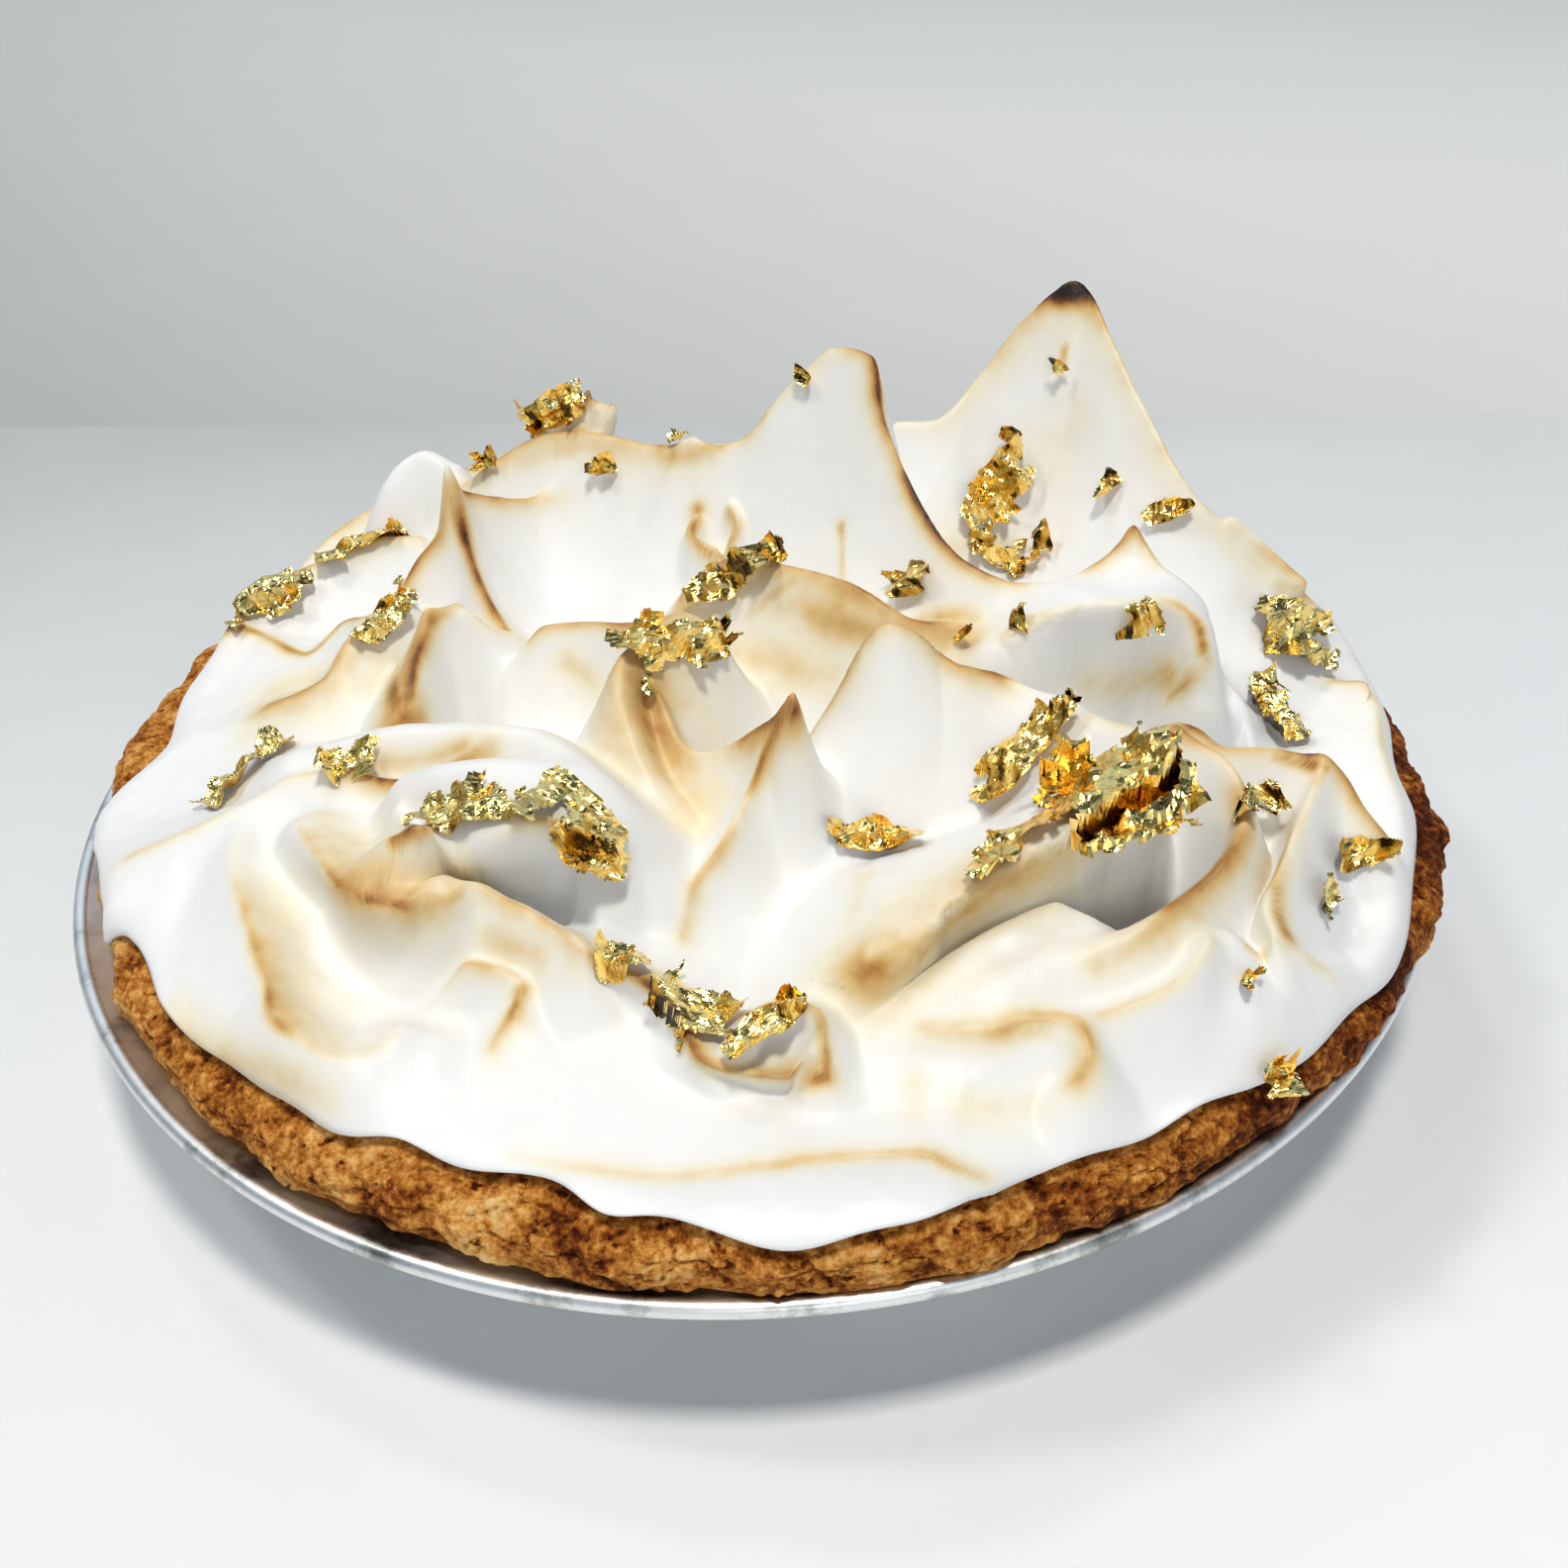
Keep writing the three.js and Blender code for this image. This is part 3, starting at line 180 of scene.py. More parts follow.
# Crests of the meringue, as in the solid: each runs through its (x, y, z) points, its
# flanks reach left and right that far, seen along the run, round is the radius of the
# crest, power is how hollow the flanks are and lean is how far the crest hangs over. Its
# toast is how brown it is at equal steps along the run, and brown is how far that spreads
# to the left and to the right
CRESTS = {
    "tall peak": dict(path=((30, 47, 80), (38, 44, 82), (45, 48, 88), (52, 50.5, 96),
        (58, 51, 102), (62.5, 50.5, 105.5), (66, 49, 103), (69, 42, 97), (74, 30, 88),
        (80, 19, 79), (89, 16, 70), (102, 16, 58)), left=20, right=38, round=0.6, power=2,
        toast=(0.1, 0.2, 0.35, 1.6, 0.4, 0.25, 0.3, 0.4, 0.8), brown=(2.2, 3.8)),
    "middle peak": dict(path=((-10, 38, 80), (1, 35, 84), (8, 34, 93), (15, 32.5, 100.5),
        (18, 31.5, 102.5), (23.5, 27.5, 103), (25, 26, 101), (26, 22, 93), (31, 11, 83),
        (38, -1, 77), (50, -5, 73), (61, -2, 76), (65, -1, 79.5), (67, 0, 82), (69, -2, 79),
        (71, -5, 76), (76, -9, 72)), left=16, right=34, round=0.5, power=2.1,
        toast=(0.6, 0.55, 0.35, 0.25, 0.9, 0.95, 0.9, 0.8, 0.75, 0.7, 0.9, 0.5, 0.3),
        brown=(0.8, 1.8)),
    "back crest": dict(path=((-54, 55, 66), (-47, 54, 72), (-37, 52, 78), (-27, 49, 79),
        (-16, 43, 79), (-8, 39, 80)), left=20, right=26, round=1.2, power=1.9,
        toast=(0.3, 0.45, 0.55, 0.6, 0.6, 0.5), brown=(2.2, 3.8)),
    "small scroll": dict(path=((-8, 28, 71.5), (-9.5, 26, 70.5), (-8, 23.5, 69.5),
        (-4.5, 22, 68.5)), left=4, right=5, round=0.8, power=1.3),
    "small scroll side": dict(path=((-2, 28, 73), (-0.5, 25.5, 71.5), (-2, 23, 69.5)), left=5,
        right=4, round=0.7, power=1.3),
    "back hook": dict(path=((-40, 57, 77), (-36, 56, 80), (-31, 55, 83), (-27, 53, 84.5)), left=7,
        right=7, round=0.5, power=1.9, lean=(3, 0), toast=(0.4, 0.5, 0.6, 0.6), brown=(2, 2)),
    "hook tip": dict(path=((-30, 54, 84), (-26, 52, 85.5), (-22, 50, 86)), left=3.5, right=3.5,
        round=0.4, power=1.6, lean=(6, -2), toast=(0.6, 0.9, 1.1), brown=(2, 2)),
    "fin outer": dict(path=((-64, 23, 60), (-60, 27, 66), (-55, 29, 70), (-53, 31, 78)), left=12,
        right=16, round=0.4, power=2, toast=(0.5, 0.6, 0.6, 0.9), brown=(1, 1.8)),
    "fin back": dict(path=((-53, 31, 78), (-50, 36, 74), (-41, 43, 69), (-28, 47, 66)), left=14,
        right=18, round=0.5, power=2, toast=(0.9, 0.6, 0.4, 0.3), brown=(1.5, 2.2)),
    "fin front": dict(path=((-53, 31, 78), (-51, 27, 71), (-48, 20, 64), (-43, 13, 57)), left=9,
        right=9, round=0.5, power=1.9, toast=(0.95, 0.75, 0.8, 0.6), brown=(2, 1.5)),
    "back lobe": dict(path=((-71, 57, 58), (-69, 60, 66), (-63, 62, 70), (-57, 60, 68)), left=12,
        right=12, round=5, power=1.3),
    "far swell": dict(path=((-99, 31, 50), (-93, 39, 54), (-81, 45, 57), (-72, 47, 59),
        (-63, 46, 60)), left=14, right=16, round=1, power=1.7, toast=(0.9, 0.6, 0.5, 0.6, 0.4),
        brown=(2.2, 2.2)),
    "left wave": dict(path=((-99, 31, 50), (-92, 28, 50), (-81, 18, 51), (-74, 20, 57),
        (-68, 15, 61), (-62, 18, 62)), left=12, right=18, round=0.6, power=1.8,
        toast=(0.6, 0.6, 0.7, 0.65, 0.5), brown=(1.2, 1.2)),
    "tongue": dict(path=((-50.5, 8, 66), (-54, 3, 66), (-55.5, -3, 65), (-56.5, -9, 63),
        (-57, -13, 60), (-58, -15, 56)), left=4.5, right=12, round=2, power=1, lean=(0, -1),
        toast=(0.3, 0.45, 0.7, 0.85, 0.9, 0.8), brown=(1.5, 4.5)),
    "tongue back": dict(path=((-55, 4, 67), (-49, 6, 67), (-45, 6, 63), (-40, 9, 59)), left=9,
        right=7, round=0.8, power=1.3, toast=(0.3, 0.3, 0.2), brown=(1.5, 1.5)),
    "tongue ledge": dict(path=((-89, -1, 47), (-86, 2, 50), (-80, 2, 53), (-74, 3, 56),
        (-71, 8, 60), (-68, 11, 62)), left=11, right=16, round=0.9, power=1.7,
        toast=(0.2, 0.5, 0.6, 0.6, 0.5), brown=(1.5, 5.2)),
    "outer ledge": dict(path=((-104, -38, 43), (-100, -37, 48), (-90, -36, 52), (-82, -33, 54),
        (-74, -30, 57), (-66, -31, 59)), left=16, right=22, round=0.6, power=1.7,
        toast=(0.2, 0.2, 0.15, 0.2), brown=(1.5, 1.5)),
    "small tip": dict(path=((-66, -31, 59), (-57, -34, 58), (-49, -34, 59), (-41, -32, 62)),
        left=12, right=10, round=0.6, power=1.8, toast=(0.7, 0.75, 0.8, 0.9), brown=(1.5, 2.4)),
    "front lip": dict(path=((-70.3, -45.6, 58.5), (-65, -56.1, 59.5), (-59.5, -64.8, 60),
        (-52.8, -68.7, 60.5), (-45.5, -69.8, 60.5), (-42.1, -67.2, 60.5)), left=17, right=4.5,
        round=5, power=0.9, lean=(-1.5, -4.5), toast=(0.15, 0.45, 0.6, 0.65, 0.6, 0.4),
        brown=(8, 1)),
    "lip ridge": dict(path=((-46, -64, 61.5), (-42, -63.5, 61.5), (-37, -67, 60.5),
        (-32, -70, 59.5), (-28, -73, 58.5), (-24, -77, 57.5)), left=7, right=11, round=1.6,
        power=1.3, lean=(0, -1), toast=(0.3, 0.35, 0.45, 0.4), brown=(1.5, 3)),
    "arch foot": dict(path=((-54, -48, 62.5), (-51.5, -53, 62.5), (-49.5, -58, 62)), left=6,
        right=6, round=2, power=1.2),
    "arch": dict(path=((-52, -60, 66), (-46, -63, 70), (-39, -64.5, 71.5), (-31, -65, 72),
        (-25, -66.5, 70.5), (-20, -69, 66)), left=20, right=3.5, round=1.2, power=1.1,
        lean=(0, -9), toast=(0.7, 0.7, 0.6, 0.5), brown=(1.5, 2.2)),
    "arch back": dict(path=((-52, -44, 65), (-45, -48, 69.5), (-35, -50, 71.5), (-26, -53, 71),
        (-20, -57, 67)), left=18, right=9, round=6, power=1.2),
    "wide curl": dict(path=((-74, -25, 58), (-59, -25, 62), (-45, -29, 65), (-33, -35, 67),
        (-25, -46, 68), (-19, -57, 66), (-15, -63, 60)), left=18, right=13, round=3.5, power=1.4),
    "scoop edge": dict(path=((-83, -38, 53), (-81, -49, 53), (-77, -60, 52.5), (-71, -75, 51.5),
        (-69, -82, 51), (-64, -87, 51), (-58, -90, 50), (-52, -88, 50), (-50, -84, 52)), left=16,
        right=14, round=1, power=1.7, toast=(0.05, 0.1, 0.3, 0.5, 0.55, 0.45, 0.2, 0.1),
        brown=(6.8, 1.2)),
    "pocket side": dict(path=((-33, -79, 52), (-34.5, -83, 50.5), (-37, -86.5, 48)), left=10,
        right=8, round=0.5, power=1.7, toast=(0.5, 0.55, 0.3), brown=(2, 1.5)),
    "pocket top": dict(path=((-46, -74.5, 52), (-44, -74, 53.5), (-41, -74.5, 54),
        (-37, -76.5, 54), (-34, -77.5, 53)), left=9, right=6, round=0.8, power=1.5,
        toast=(0.7, 0.7, 0.5, 0.35, 0.2), brown=(2, 2)),
    "front curl": dict(path=((-25, -75.5, 57.5), (-20, -79, 56), (-14, -83, 55), (-9, -91, 53),
        (-6, -96, 52), (2, -98, 51), (10, -98.5, 51)), left=16, right=3.5, round=0.8, power=1.1,
        lean=(0, -4), toast=(0.5, 0.7, 0.7, 0.75, 0.7, 0.7, 0.8), brown=(2.2, 1.5)),
    "curl end": dict(path=((0, -90, 55), (5, -91, 57), (9.5, -92, 57.5), (10.5, -95, 54),
        (10.5, -98.5, 51)), left=12, right=3.5, round=0.6, power=1.1, lean=(2.5, -1),
        toast=(0.5, 0.4, 0.5, 0.8), brown=(1.2, 1.2)),
    "front ledge": dict(path=((-33, -104, 43), (-19, -109, 45), (-8, -111, 46), (1, -111, 47),
        (12, -111, 48), (23, -111, 48), (26, -112, 47), (32, -113, 45)), left=20, right=7,
        round=0.6, power=1.7, lean=(0, -1), toast=(0.1, 0.2, 0.25, 0.35, 0.45, 0.4, 0.25),
        brown=(1.8, 0.9)),
    "swirl loop": dict(path=((25, -92, 53), (34, -93, 53), (38, -92, 54), (43, -92, 55),
        (46, -94, 55), (47, -98, 53), (45, -100, 50)), left=10, right=9, round=1.2, power=1.5,
        toast=(0.5, 0.6, 0.5, 0.4, 0.5, 0.7, 0.6), brown=(2.2, 2.2)),
    "swirl ledge": dict(path=((47, -92, 54), (55, -90, 55), (62, -87, 57), (66, -82, 58)),
        left=13, right=11, round=0.8, power=1.7, toast=(0.3, 0.3, 0.2), brown=(1.5, 1.5)),
    "big roll": dict(path=((16, -83, 56), (23, -83, 61), (30, -79, 66), (40, -75, 70),
        (48, -73, 73.5), (55, -68, 75.5), (60, -66, 76.5), (62, -62, 77), (62, -57, 76.5),
        (59, -51, 75), (54, -46, 73)), left=20, right=6.8, round=5, power=0.8, lean=(4.5, -7.8),
        toast=(0.6, 0.3, 0.12, 0.1, 0.1, 0.1, 0.15, 0.2, 0.15, 0.2, 0.3), brown=(3, 3)),
    "roll foot": dict(path=((18, -88, 52.5), (24, -86, 55), (33, -80.5, 58.5), (42, -76.5, 60.5),
        (48, -74.5, 60.5)), left=8, right=14, round=5, power=1.1),
    "roll edge": dict(path=((15, -86, 55), (16, -79, 57), (17, -73, 58), (18, -64, 57)), left=9,
        right=14, round=0.8, power=1.7, toast=(0.6, 0.5, 0.4), brown=(1.8, 1.8)),
    "second roll": dict(path=((67, -44, 70), (73, -52, 69.5), (75, -59, 67), (73.5, -65, 66),
        (69.5, -70.5, 64), (62.5, -75.5, 61), (56, -80, 58.5), (50, -82, 55.5)), left=10, right=9,
        round=1.4, power=1.3, toast=(0.6, 0.45, 0.4, 0.5, 0.6, 0.6, 0.5, 0.3), brown=(4.0, 1.5)),
    "roll ledge": dict(path=((27, -90, 53), (35, -86, 57), (43, -83, 58), (51, -81, 58.5),
        (60, -79, 59), (69, -78, 57)), left=8, right=20, round=3, power=1.15),
    "right fin top": dict(path=((62, -39, 66), (70, -42, 69), (75, -44, 66), (83, -44, 65),
        (92, -46, 63), (96, -50, 58), (100, -53, 53)), left=13, right=18, round=0.6, power=1.8,
        toast=(0.5, 0.8, 0.5, 0.6, 0.7, 0.6, 0.4), brown=(1.5, 2.1)),
    "right fin front": dict(path=((90, -47, 63), (85, -56, 61), (80, -66, 60), (76, -73, 59),
        (76, -79, 56)), left=11, right=13, round=1, power=1.8, lean=(-3, 0),
        toast=(0.3, 0.25, 0.2, 0.2), brown=(1.5, 1.8)),
    "right rim": dict(path=((105, 0, 48), (110, -9, 51), (108, -23, 49), (106, -48, 47),
        (100, -66, 46), (92, -80, 46), (86, -79, 49), (78, -78, 53)), left=10, right=20,
        round=1.2, power=1.6, toast=(0.2, 0.4, 0.1, 0.0, 0.0, 0.1, 0.2), brown=(1.2, 1.2)),
    "edge hook": dict(path=((103, 0, 48), (108, -4.5, 51.5), (109.5, -8, 52), (109.5, -11, 49)),
        left=4, right=4, round=0.5, power=1.5, lean=(2.5, 0), toast=(0.3, 0.6, 0.6),
        brown=(1, 1.5)),
    "peak curl": dict(path=((88, 16, 71), (95, 13, 67.5), (101, 9, 64)), left=9, right=9,
        round=0.8, power=1.6, lean=(3.5, -2), toast=(0.3, 0.6, 0.8), brown=(1.8, 1.8)),
    "thick roll": dict(path=((44, -16, 70), (50, -16.5, 74), (57, -17.5, 76.5),
        (63.5, -18.5, 77.5), (69.5, -19, 77.5), (74, -20.5, 75), (75.5, -24, 70)), left=12,
        right=6.5, round=6, power=0.6, lean=(2, -8), toast=(0.4, 0.3, 0.2, 0.1, 0.15, 0.4, 0.8),
        brown=(1.2, 1.2)),
    "hood": dict(path=((-10, 7, 66), (-7, 8, 71), (0, 8, 74), (9, 2, 75), (15, -1, 75),
        (21, -5, 74), (27, -8, 71), (36, -9, 67)), left=16, right=20, round=0.9, power=1.6,
        toast=(0.6, 0.7, 0.6, 0.5, 0.6, 0.7, 0.6), brown=(1.8, 5.2)),
    "centre peak": dict(path=((9, -32, 60), (15, -33, 70), (19, -32, 79), (23, -33, 84),
        (28, -33, 82), (31, -33, 79), (35, -35, 77), (41, -35, 75), (47, -36, 71), (54, -34, 66)),
        left=10, right=32, round=0.5, power=2, toast=(0.5, 0.6, 0.8, 0.8, 0.7, 0.75, 0.75, 0.5),
        brown=(1.4, 2.2)),
    "column": dict(path=((-8, -14, 73), (-18, -19, 73), (-20, -26, 70), (-18, -34, 65),
        (-14, -41, 59)), left=13, right=12, round=2.5, power=1.5,
        toast=(0.25, 0.25, 0.25, 0.25, 0.2), brown=(6, 3)),
    "spike back": dict(path=((-14, -24, 67), (-9, -34, 66), (-2, -38, 68), (4, -43, 73),
        (8, -47, 78)), left=9, right=10, round=0.8, power=1.8, toast=(0.5, 0.6, 0.6, 0.8, 1.1),
        brown=(3, 3.8)),
    "spike front": dict(path=((8, -47, 78), (4, -46, 70), (1, -50, 65), (-3, -57, 61),
        (-8, -63, 57), (-10, -70, 53)), left=9, right=16, round=0.5, power=1.8,
        toast=(1.2, 0.7, 0.5, 0.5, 0.4, 0.3), brown=(1.8, 1.2)),
    "small crest": dict(path=((-37, 1, 63), (-34, 0, 66), (-26, -1, 67), (-18, -5, 69),
        (-10, -6, 71), (-5, -12, 72)), left=13, right=13, round=0.7, power=1.7,
        toast=(0.6, 0.6, 0.5, 0.4), brown=(1.8, 1.8)),
    "rear left wave": dict(path=((-97, 52, 46), (-86, 64, 50), (-72, 76, 54), (-56, 83, 56),
        (-42, 80, 53)), left=14, right=18, round=0.9, power=1.7, toast=(0.3, 0.5, 0.6, 0.5),
        brown=(1.8, 3)),
    "rear wave one": dict(path=((-42, 96, 45), (-29, 87, 50), (-17, 76, 56), (-9, 67, 61),
        (3, 60, 64)), left=15, right=17, round=0.7, power=1.8, toast=(0.4, 0.7, 0.6, 0.5),
        brown=(1.8, 2.7)),
    "rear wave two": dict(path=((-10, 101, 45), (5, 95, 50), (18, 85, 55), (24, 73, 59),
        (20, 62, 62)), left=17, right=14, round=0.8, power=1.7, toast=(0.3, 0.5, 0.7, 0.8),
        brown=(2.2, 1.8)),
    "rear wave three": dict(path=((34, 99, 45), (45, 91, 50), (52, 80, 56), (48, 68, 60)),
        left=18, right=14, round=0.6, power=1.8, toast=(0.3, 0.5, 0.8), brown=(2.2, 1.5)),
    "rear right wave": dict(path=((62, 88, 46), (74, 78, 51), (82, 65, 55), (85, 50, 57),
        (79, 38, 59)), left=14, right=16, round=0.8, power=1.7, toast=(0.3, 0.6, 0.7, 0.6),
        brown=(1.8, 2.7)),
    "rear right ledge": dict(path=((94, 60, 45), (101, 44, 49), (104, 30, 51), (107, 14, 49)),
        left=12, right=12, round=1, power=1.6, toast=(0.2, 0.4, 0.5), brown=(1.8, 1.5)),
    "rear ledge": dict(path=((-70, 90, 44), (-52, 99, 47), (-28, 106, 48), (-4, 110, 47),
        (20, 108, 48), (44, 101, 45)), left=8, right=16, round=0.8, power=1.6,
        toast=(0.1, 0.3, 0.4, 0.3, 0.2), brown=(1.5, 1.5)),
}

# Hollows scooped out of the meringue: a line from start to end, width and depth
HOLLOWS = (
    dict(start=(-41, -58.5), end=(-31, -61), width=5.5, depth=10),  # under the arch
    dict(start=(-66, -62), end=(-47, -72.5), width=6, depth=3),  # below the lip
    dict(start=(-64, -71), end=(-48, -78), width=10, depth=3.5),  # in the scoop before it
    dict(start=(-5, -31), end=(1, -31), width=12, depth=5),  # bowl behind the spike
    dict(start=(-49.5, 1), end=(-48.5, -15), width=7.5, depth=6),  # beside the tongue
    dict(start=(75, -22), end=(58, -21), width=7, depth=12),  # under the thick roll
    dict(start=(80.5, -27), end=(81, -13), width=5, depth=8),  # beyond its end
    dict(start=(61, -63), end=(50, -70.5), width=6, depth=13),  # under the diagonal roll
)

# Gold leaf: a point of the meringue below its middle, the way it faces, its length with
# its direction, and its width
LEAVES = (
    ((-86, -16, 48), (-3, -2, 9), (9, 15, 1), 6),
    ((-65, -31, 60), (2, 0, 9), (8, 0, 0), 5),
    ((-40, -58, 70.5), (-1, -3, 8), (18, -2, 4), 9),
    ((-24, -64, 69), (2, -7, 6), (11, -7, -10), 9),
    ((-11, -17, 72), (2, -6, 7), (19, 3, -3), 9),
    ((-91, 36, 53), (-2, -5, 8), (14, 8, 2), 8),
    ((-72, 47, 59), (-1, -5, 8), (18, 7, 4), 5),
    ((-65, 14, 60), (4, -5, 8), (6, 13, 2), 5),
    ((-34, 55, 81), (-2, -8, 5), (11, -3, 6), 7),
    ((0, 5, 72), (-3, -6, 6), (16, 3, 6), 6),
    ((30, 1, 72), (-6, -5, 6), (8, -4, 4), 6),
    ((47, 35, 69), (1, -8, 6), (13, 8, 11), 9),
    ((52, 27, 61), (-3, -4, 7), (10, -3, 4), 6),
    ((78.5, 16.5, 76), (-3, -7, 6), (11, 1, 3), 3.5),
    ((65, -19, 75), (0, -8, 4), (7, 0, 1), 6),
    ((96, 3, 56), (3, -5, 8), (17, 1, -5), 11),
    ((91, -11, 49), (2, -4, 9), (5, -12, -4), 7),
    ((44, -46, 68), (-4, -5, 7), (15, 7, 10), 6),
    ((54, -67, 75), (0, -3, 8), (20, 4, 1), 17),
    ((36, -74, 68.5), (-1, -4, 8), (15, 9, 6), 6),
    ((20, -52, 56), (0, -5, 8), (12, -3, -1), 5),
    ((95, -55, 52), (1, -7, 7), (8, 1, 0), 5),
    ((86, -66, 53), (7, -4, 5), (7, 10, 0), 5),
    ((-17, -78, 55.5), (1, -2, 9), (9, 0, -1), 5),
    ((-8, -87, 53), (1, -1, 9), (8, -9, -2), 8),
    ((3, -92, 55), (-2, -6, 7), (11, 7, 2), 5),
    ((74, -92, 42), (3, -6, 6), (6, 1, 0), 6),
)

# Flecks of gold too small for a piece of their own: x and y on the meringue, and size
FLECKS = ((-17, -24, 4), (-48, 53, 5), (-25, 44, 5), (-11, 40, 4), (13, 32, 4), (68, 26, 5),
          (47, -16, 4), (37, -11, 3), (75, -61, 5), (85, -50, 5), (71, -84, 5), (60, 45, 4),
          (51, 42, 4))

# Toasted patches away from the crests, one of them painted shade and one partly so, under the
# rolls: (x, y, z) points, strength along them and spread
PATCHES = {
    "burnt tip": dict(path=((60.5, 50.5, 104.5), (64, 50, 105)), toast=(3, 3), spread=3.2),
    "mark below the tip": dict(path=((61, 46, 94), (60, 44, 90)), toast=(0.6, 0.5), spread=0.8),
    "tall face": dict(path=((62, 39, 82), (60, 38, 76)), toast=(0.16, 0.16), spread=6),
    "tall foot": dict(path=((40, 29, 63), (48, 30, 62)), toast=(0.3, 0.25), spread=4),
    "middle streak": dict(path=((18, 17, 74), (18, 11, 67)), toast=(0.7, 0.5), spread=0.8),
    "small scroll": dict(path=((-8, 30, 72), (-9, 26, 70), (-7, 22, 68), (-3, 22, 66)),
        toast=(0.7, 0.7, 0.6, 0.4), spread=1.3),
    "small scroll top": dict(path=((-2, 27, 73), (-1, 24, 71), (-3, 22, 68)),
        toast=(0.5, 0.5, 0.4), spread=1.2),
    "back crest": dict(path=((-35, 49, 76), (-24, 46, 78), (-12, 38, 79), (-5, 36, 81)),
        toast=(0.4, 0.5, 0.65, 0.5), spread=2.2),
    "back crest left": dict(path=((-43, 51, 73), (-35, 50, 76)), toast=(0.3, 0.35), spread=2.5),
    "hood face": dict(path=((9, -2, 70), (15, -6, 69), (22, -10, 68)), toast=(0.4, 0.6, 0.5),
        spread=5),
    "hood streak": dict(path=((12, 4, 74), (9, 0, 73), (5, 0, 70), (1, 0, 67)),
        toast=(0.7, 0.7, 0.55, 0.3), spread=1.6),
    "hood right": dict(path=((31, -5, 68), (39, -9, 70)), toast=(0.5, 0.5), spread=1.8),
    "bowl": dict(path=((-1, -3, 60), (7, -8, 61), (15, -12, 61)), toast=(0.25, 0.38, 0.3),
        spread=4.5),
    "column": dict(path=((-17, -20, 71), (-16, -24, 67), (-15, -29, 63), (-12, -35, 59),
        (-10, -39, 57)), toast=(0.6, 0.7, 0.65, 0.5, 0.3), spread=8),
    "column rim": dict(path=((-15, -22, 68), (-13, -29, 64), (-6, -34, 64), (2, -43, 70),
        (6, -46, 76)), toast=(0.3, 0.35, 0.35, 0.45, 0.6), spread=2.6),
    "far smudge": dict(path=((-30, -4, 61), (-26, -7, 58)), toast=(0.35, 0.3), spread=2.5),
    "tongue side": dict(path=((-62, 6, 57), (-61, -3, 58), (-60, -10, 60), (-57.5, -14.5, 58)),
        toast=(0.3, 0.5, 0.85, 0.95), spread=3.2),
    "left wash": dict(path=((-88, 10, 48), (-80, 10, 50), (-72, 6, 58)), toast=(0.2, 0.3, 0.3),
        spread=4),
    "left swath": dict(path=((-89, 1, 49), (-82, 8, 49), (-74, 3, 56), (-70, 8, 60)),
        toast=(0.3, 0.4, 0.5, 0.4), spread=2.6),
    "left curl": dict(path=((-60, -29, 58), (-52, -31, 60), (-45, -32, 63)),
        toast=(0.4, 0.3, 0.5), spread=2.2),
    "lip band": dict(path=((-66, -43, 60), (-58, -54, 61), (-50, -62, 61), (-44, -65, 61)),
        toast=(0.3, 0.45, 0.5, 0.35), spread=4.5),
    "lip patch": dict(path=((-37, -70, 54), (-31, -75, 55)), toast=(0.6, 0.5), spread=2.5),
    "pocket": dict(path=((-42, -70, 50), (-38, -72, 51), (-35, -77, 53)), toast=(0.3, 0.4, 0.3),
        spread=1.6),
    "edge band": dict(path=((-87, -71, 43), (-83, -77, 42), (-75, -83, 43), (-66, -89, 45),
        (-60, -93, 45)), toast=(0.2, 0.3, 0.3, 0.45, 0.3), spread=3),
    "roll face": dict(path=((17, -85, 58), (22, -85, 60), (29, -79, 62), (36, -77, 66),
        (44, -75, 69), (51, -71, 70), (59, -67, 72)),
        toast=(0.8, 0.85, 0.8, 0.7, 0.65, 0.55, 0.4), spread=5),
    "roll side": dict(path=((57, -67, 69), (61, -65, 73)), toast=(0.35, 0.3), spread=3),
    "second stripe": dict(path=((75, -57, 66), (74, -64, 65), (70, -70, 64), (62, -76, 61),
        (56, -82, 59), (50, -84, 57)), toast=(0.6, 0.7, 0.7, 0.55, 0.45, 0.3), spread=3),
    "thick roll end": dict(path=((76, -23, 68), (73, -23, 64), (71, -21, 61)),
        toast=(0.5, 0.55, 0.4), spread=1.3),
    # Painted shade, not toast: a darker band along the foot of the thick roll
    "thick roll painted shade": dict(path=((58, -17, 61), (65, -18, 61), (71, -20, 64)),
        toast=(0.3, 0.35, 0.45), spread=3),
    "blade": dict(path=((84, -54, 57), (78, -69, 59), (78, -77, 55)), toast=(0.5, 0.75, 0.8),
        spread=1.8),
    "right arc": dict(path=((72, -79, 55), (75, -79, 53)), toast=(0.7, 0.6), spread=0.8),
    "right crest": dict(path=((83, -45, 64), (90, -47, 63)), toast=(0.9, 0.9), spread=1.1),
    "hollow ridge": dict(path=((27, -92, 53), (34, -93, 53), (42, -93, 53)),
        toast=(0.35, 0.45, 0.4), spread=1.2),
    "curl right": dict(path=((46, -95, 54), (46, -99, 51)), toast=(0.5, 0.5), spread=2),
    "front smudge": dict(path=((30, -101, 47), (38, -101, 46)), toast=(0.22, 0.25), spread=3),
    "front upright": dict(path=((23, -98, 49), (22, -102, 47)), toast=(0.25, 0.2), spread=2.5),
    "dot": dict(path=((41, -80, 57), (41.5, -80.5, 57)), toast=(0.6, 0.6), spread=0.9),
    "tongue left": dict(path=((-67, 6, 57), (-65, 3, 54)), toast=(0.4, 0.4), spread=4),
    "peak lip": dict(path=((96, 10, 63), (99, 9, 63), (102, 10, 61)), toast=(0.5, 0.8, 0.8),
        spread=1.5),
    # Toast on the diagonal roll's underside, partly painted shade along its lower edge
    "roll underside": dict(path=((43, -74, 61), (50, -70, 59), (57, -66, 57)),
        toast=(0.2, 0.15, 0.1), spread=2),
    "second tip": dict(path=((66, -0.5, 80.5), (67.5, -0.5, 82)), toast=(0.9, 1.1), spread=1.7),
}

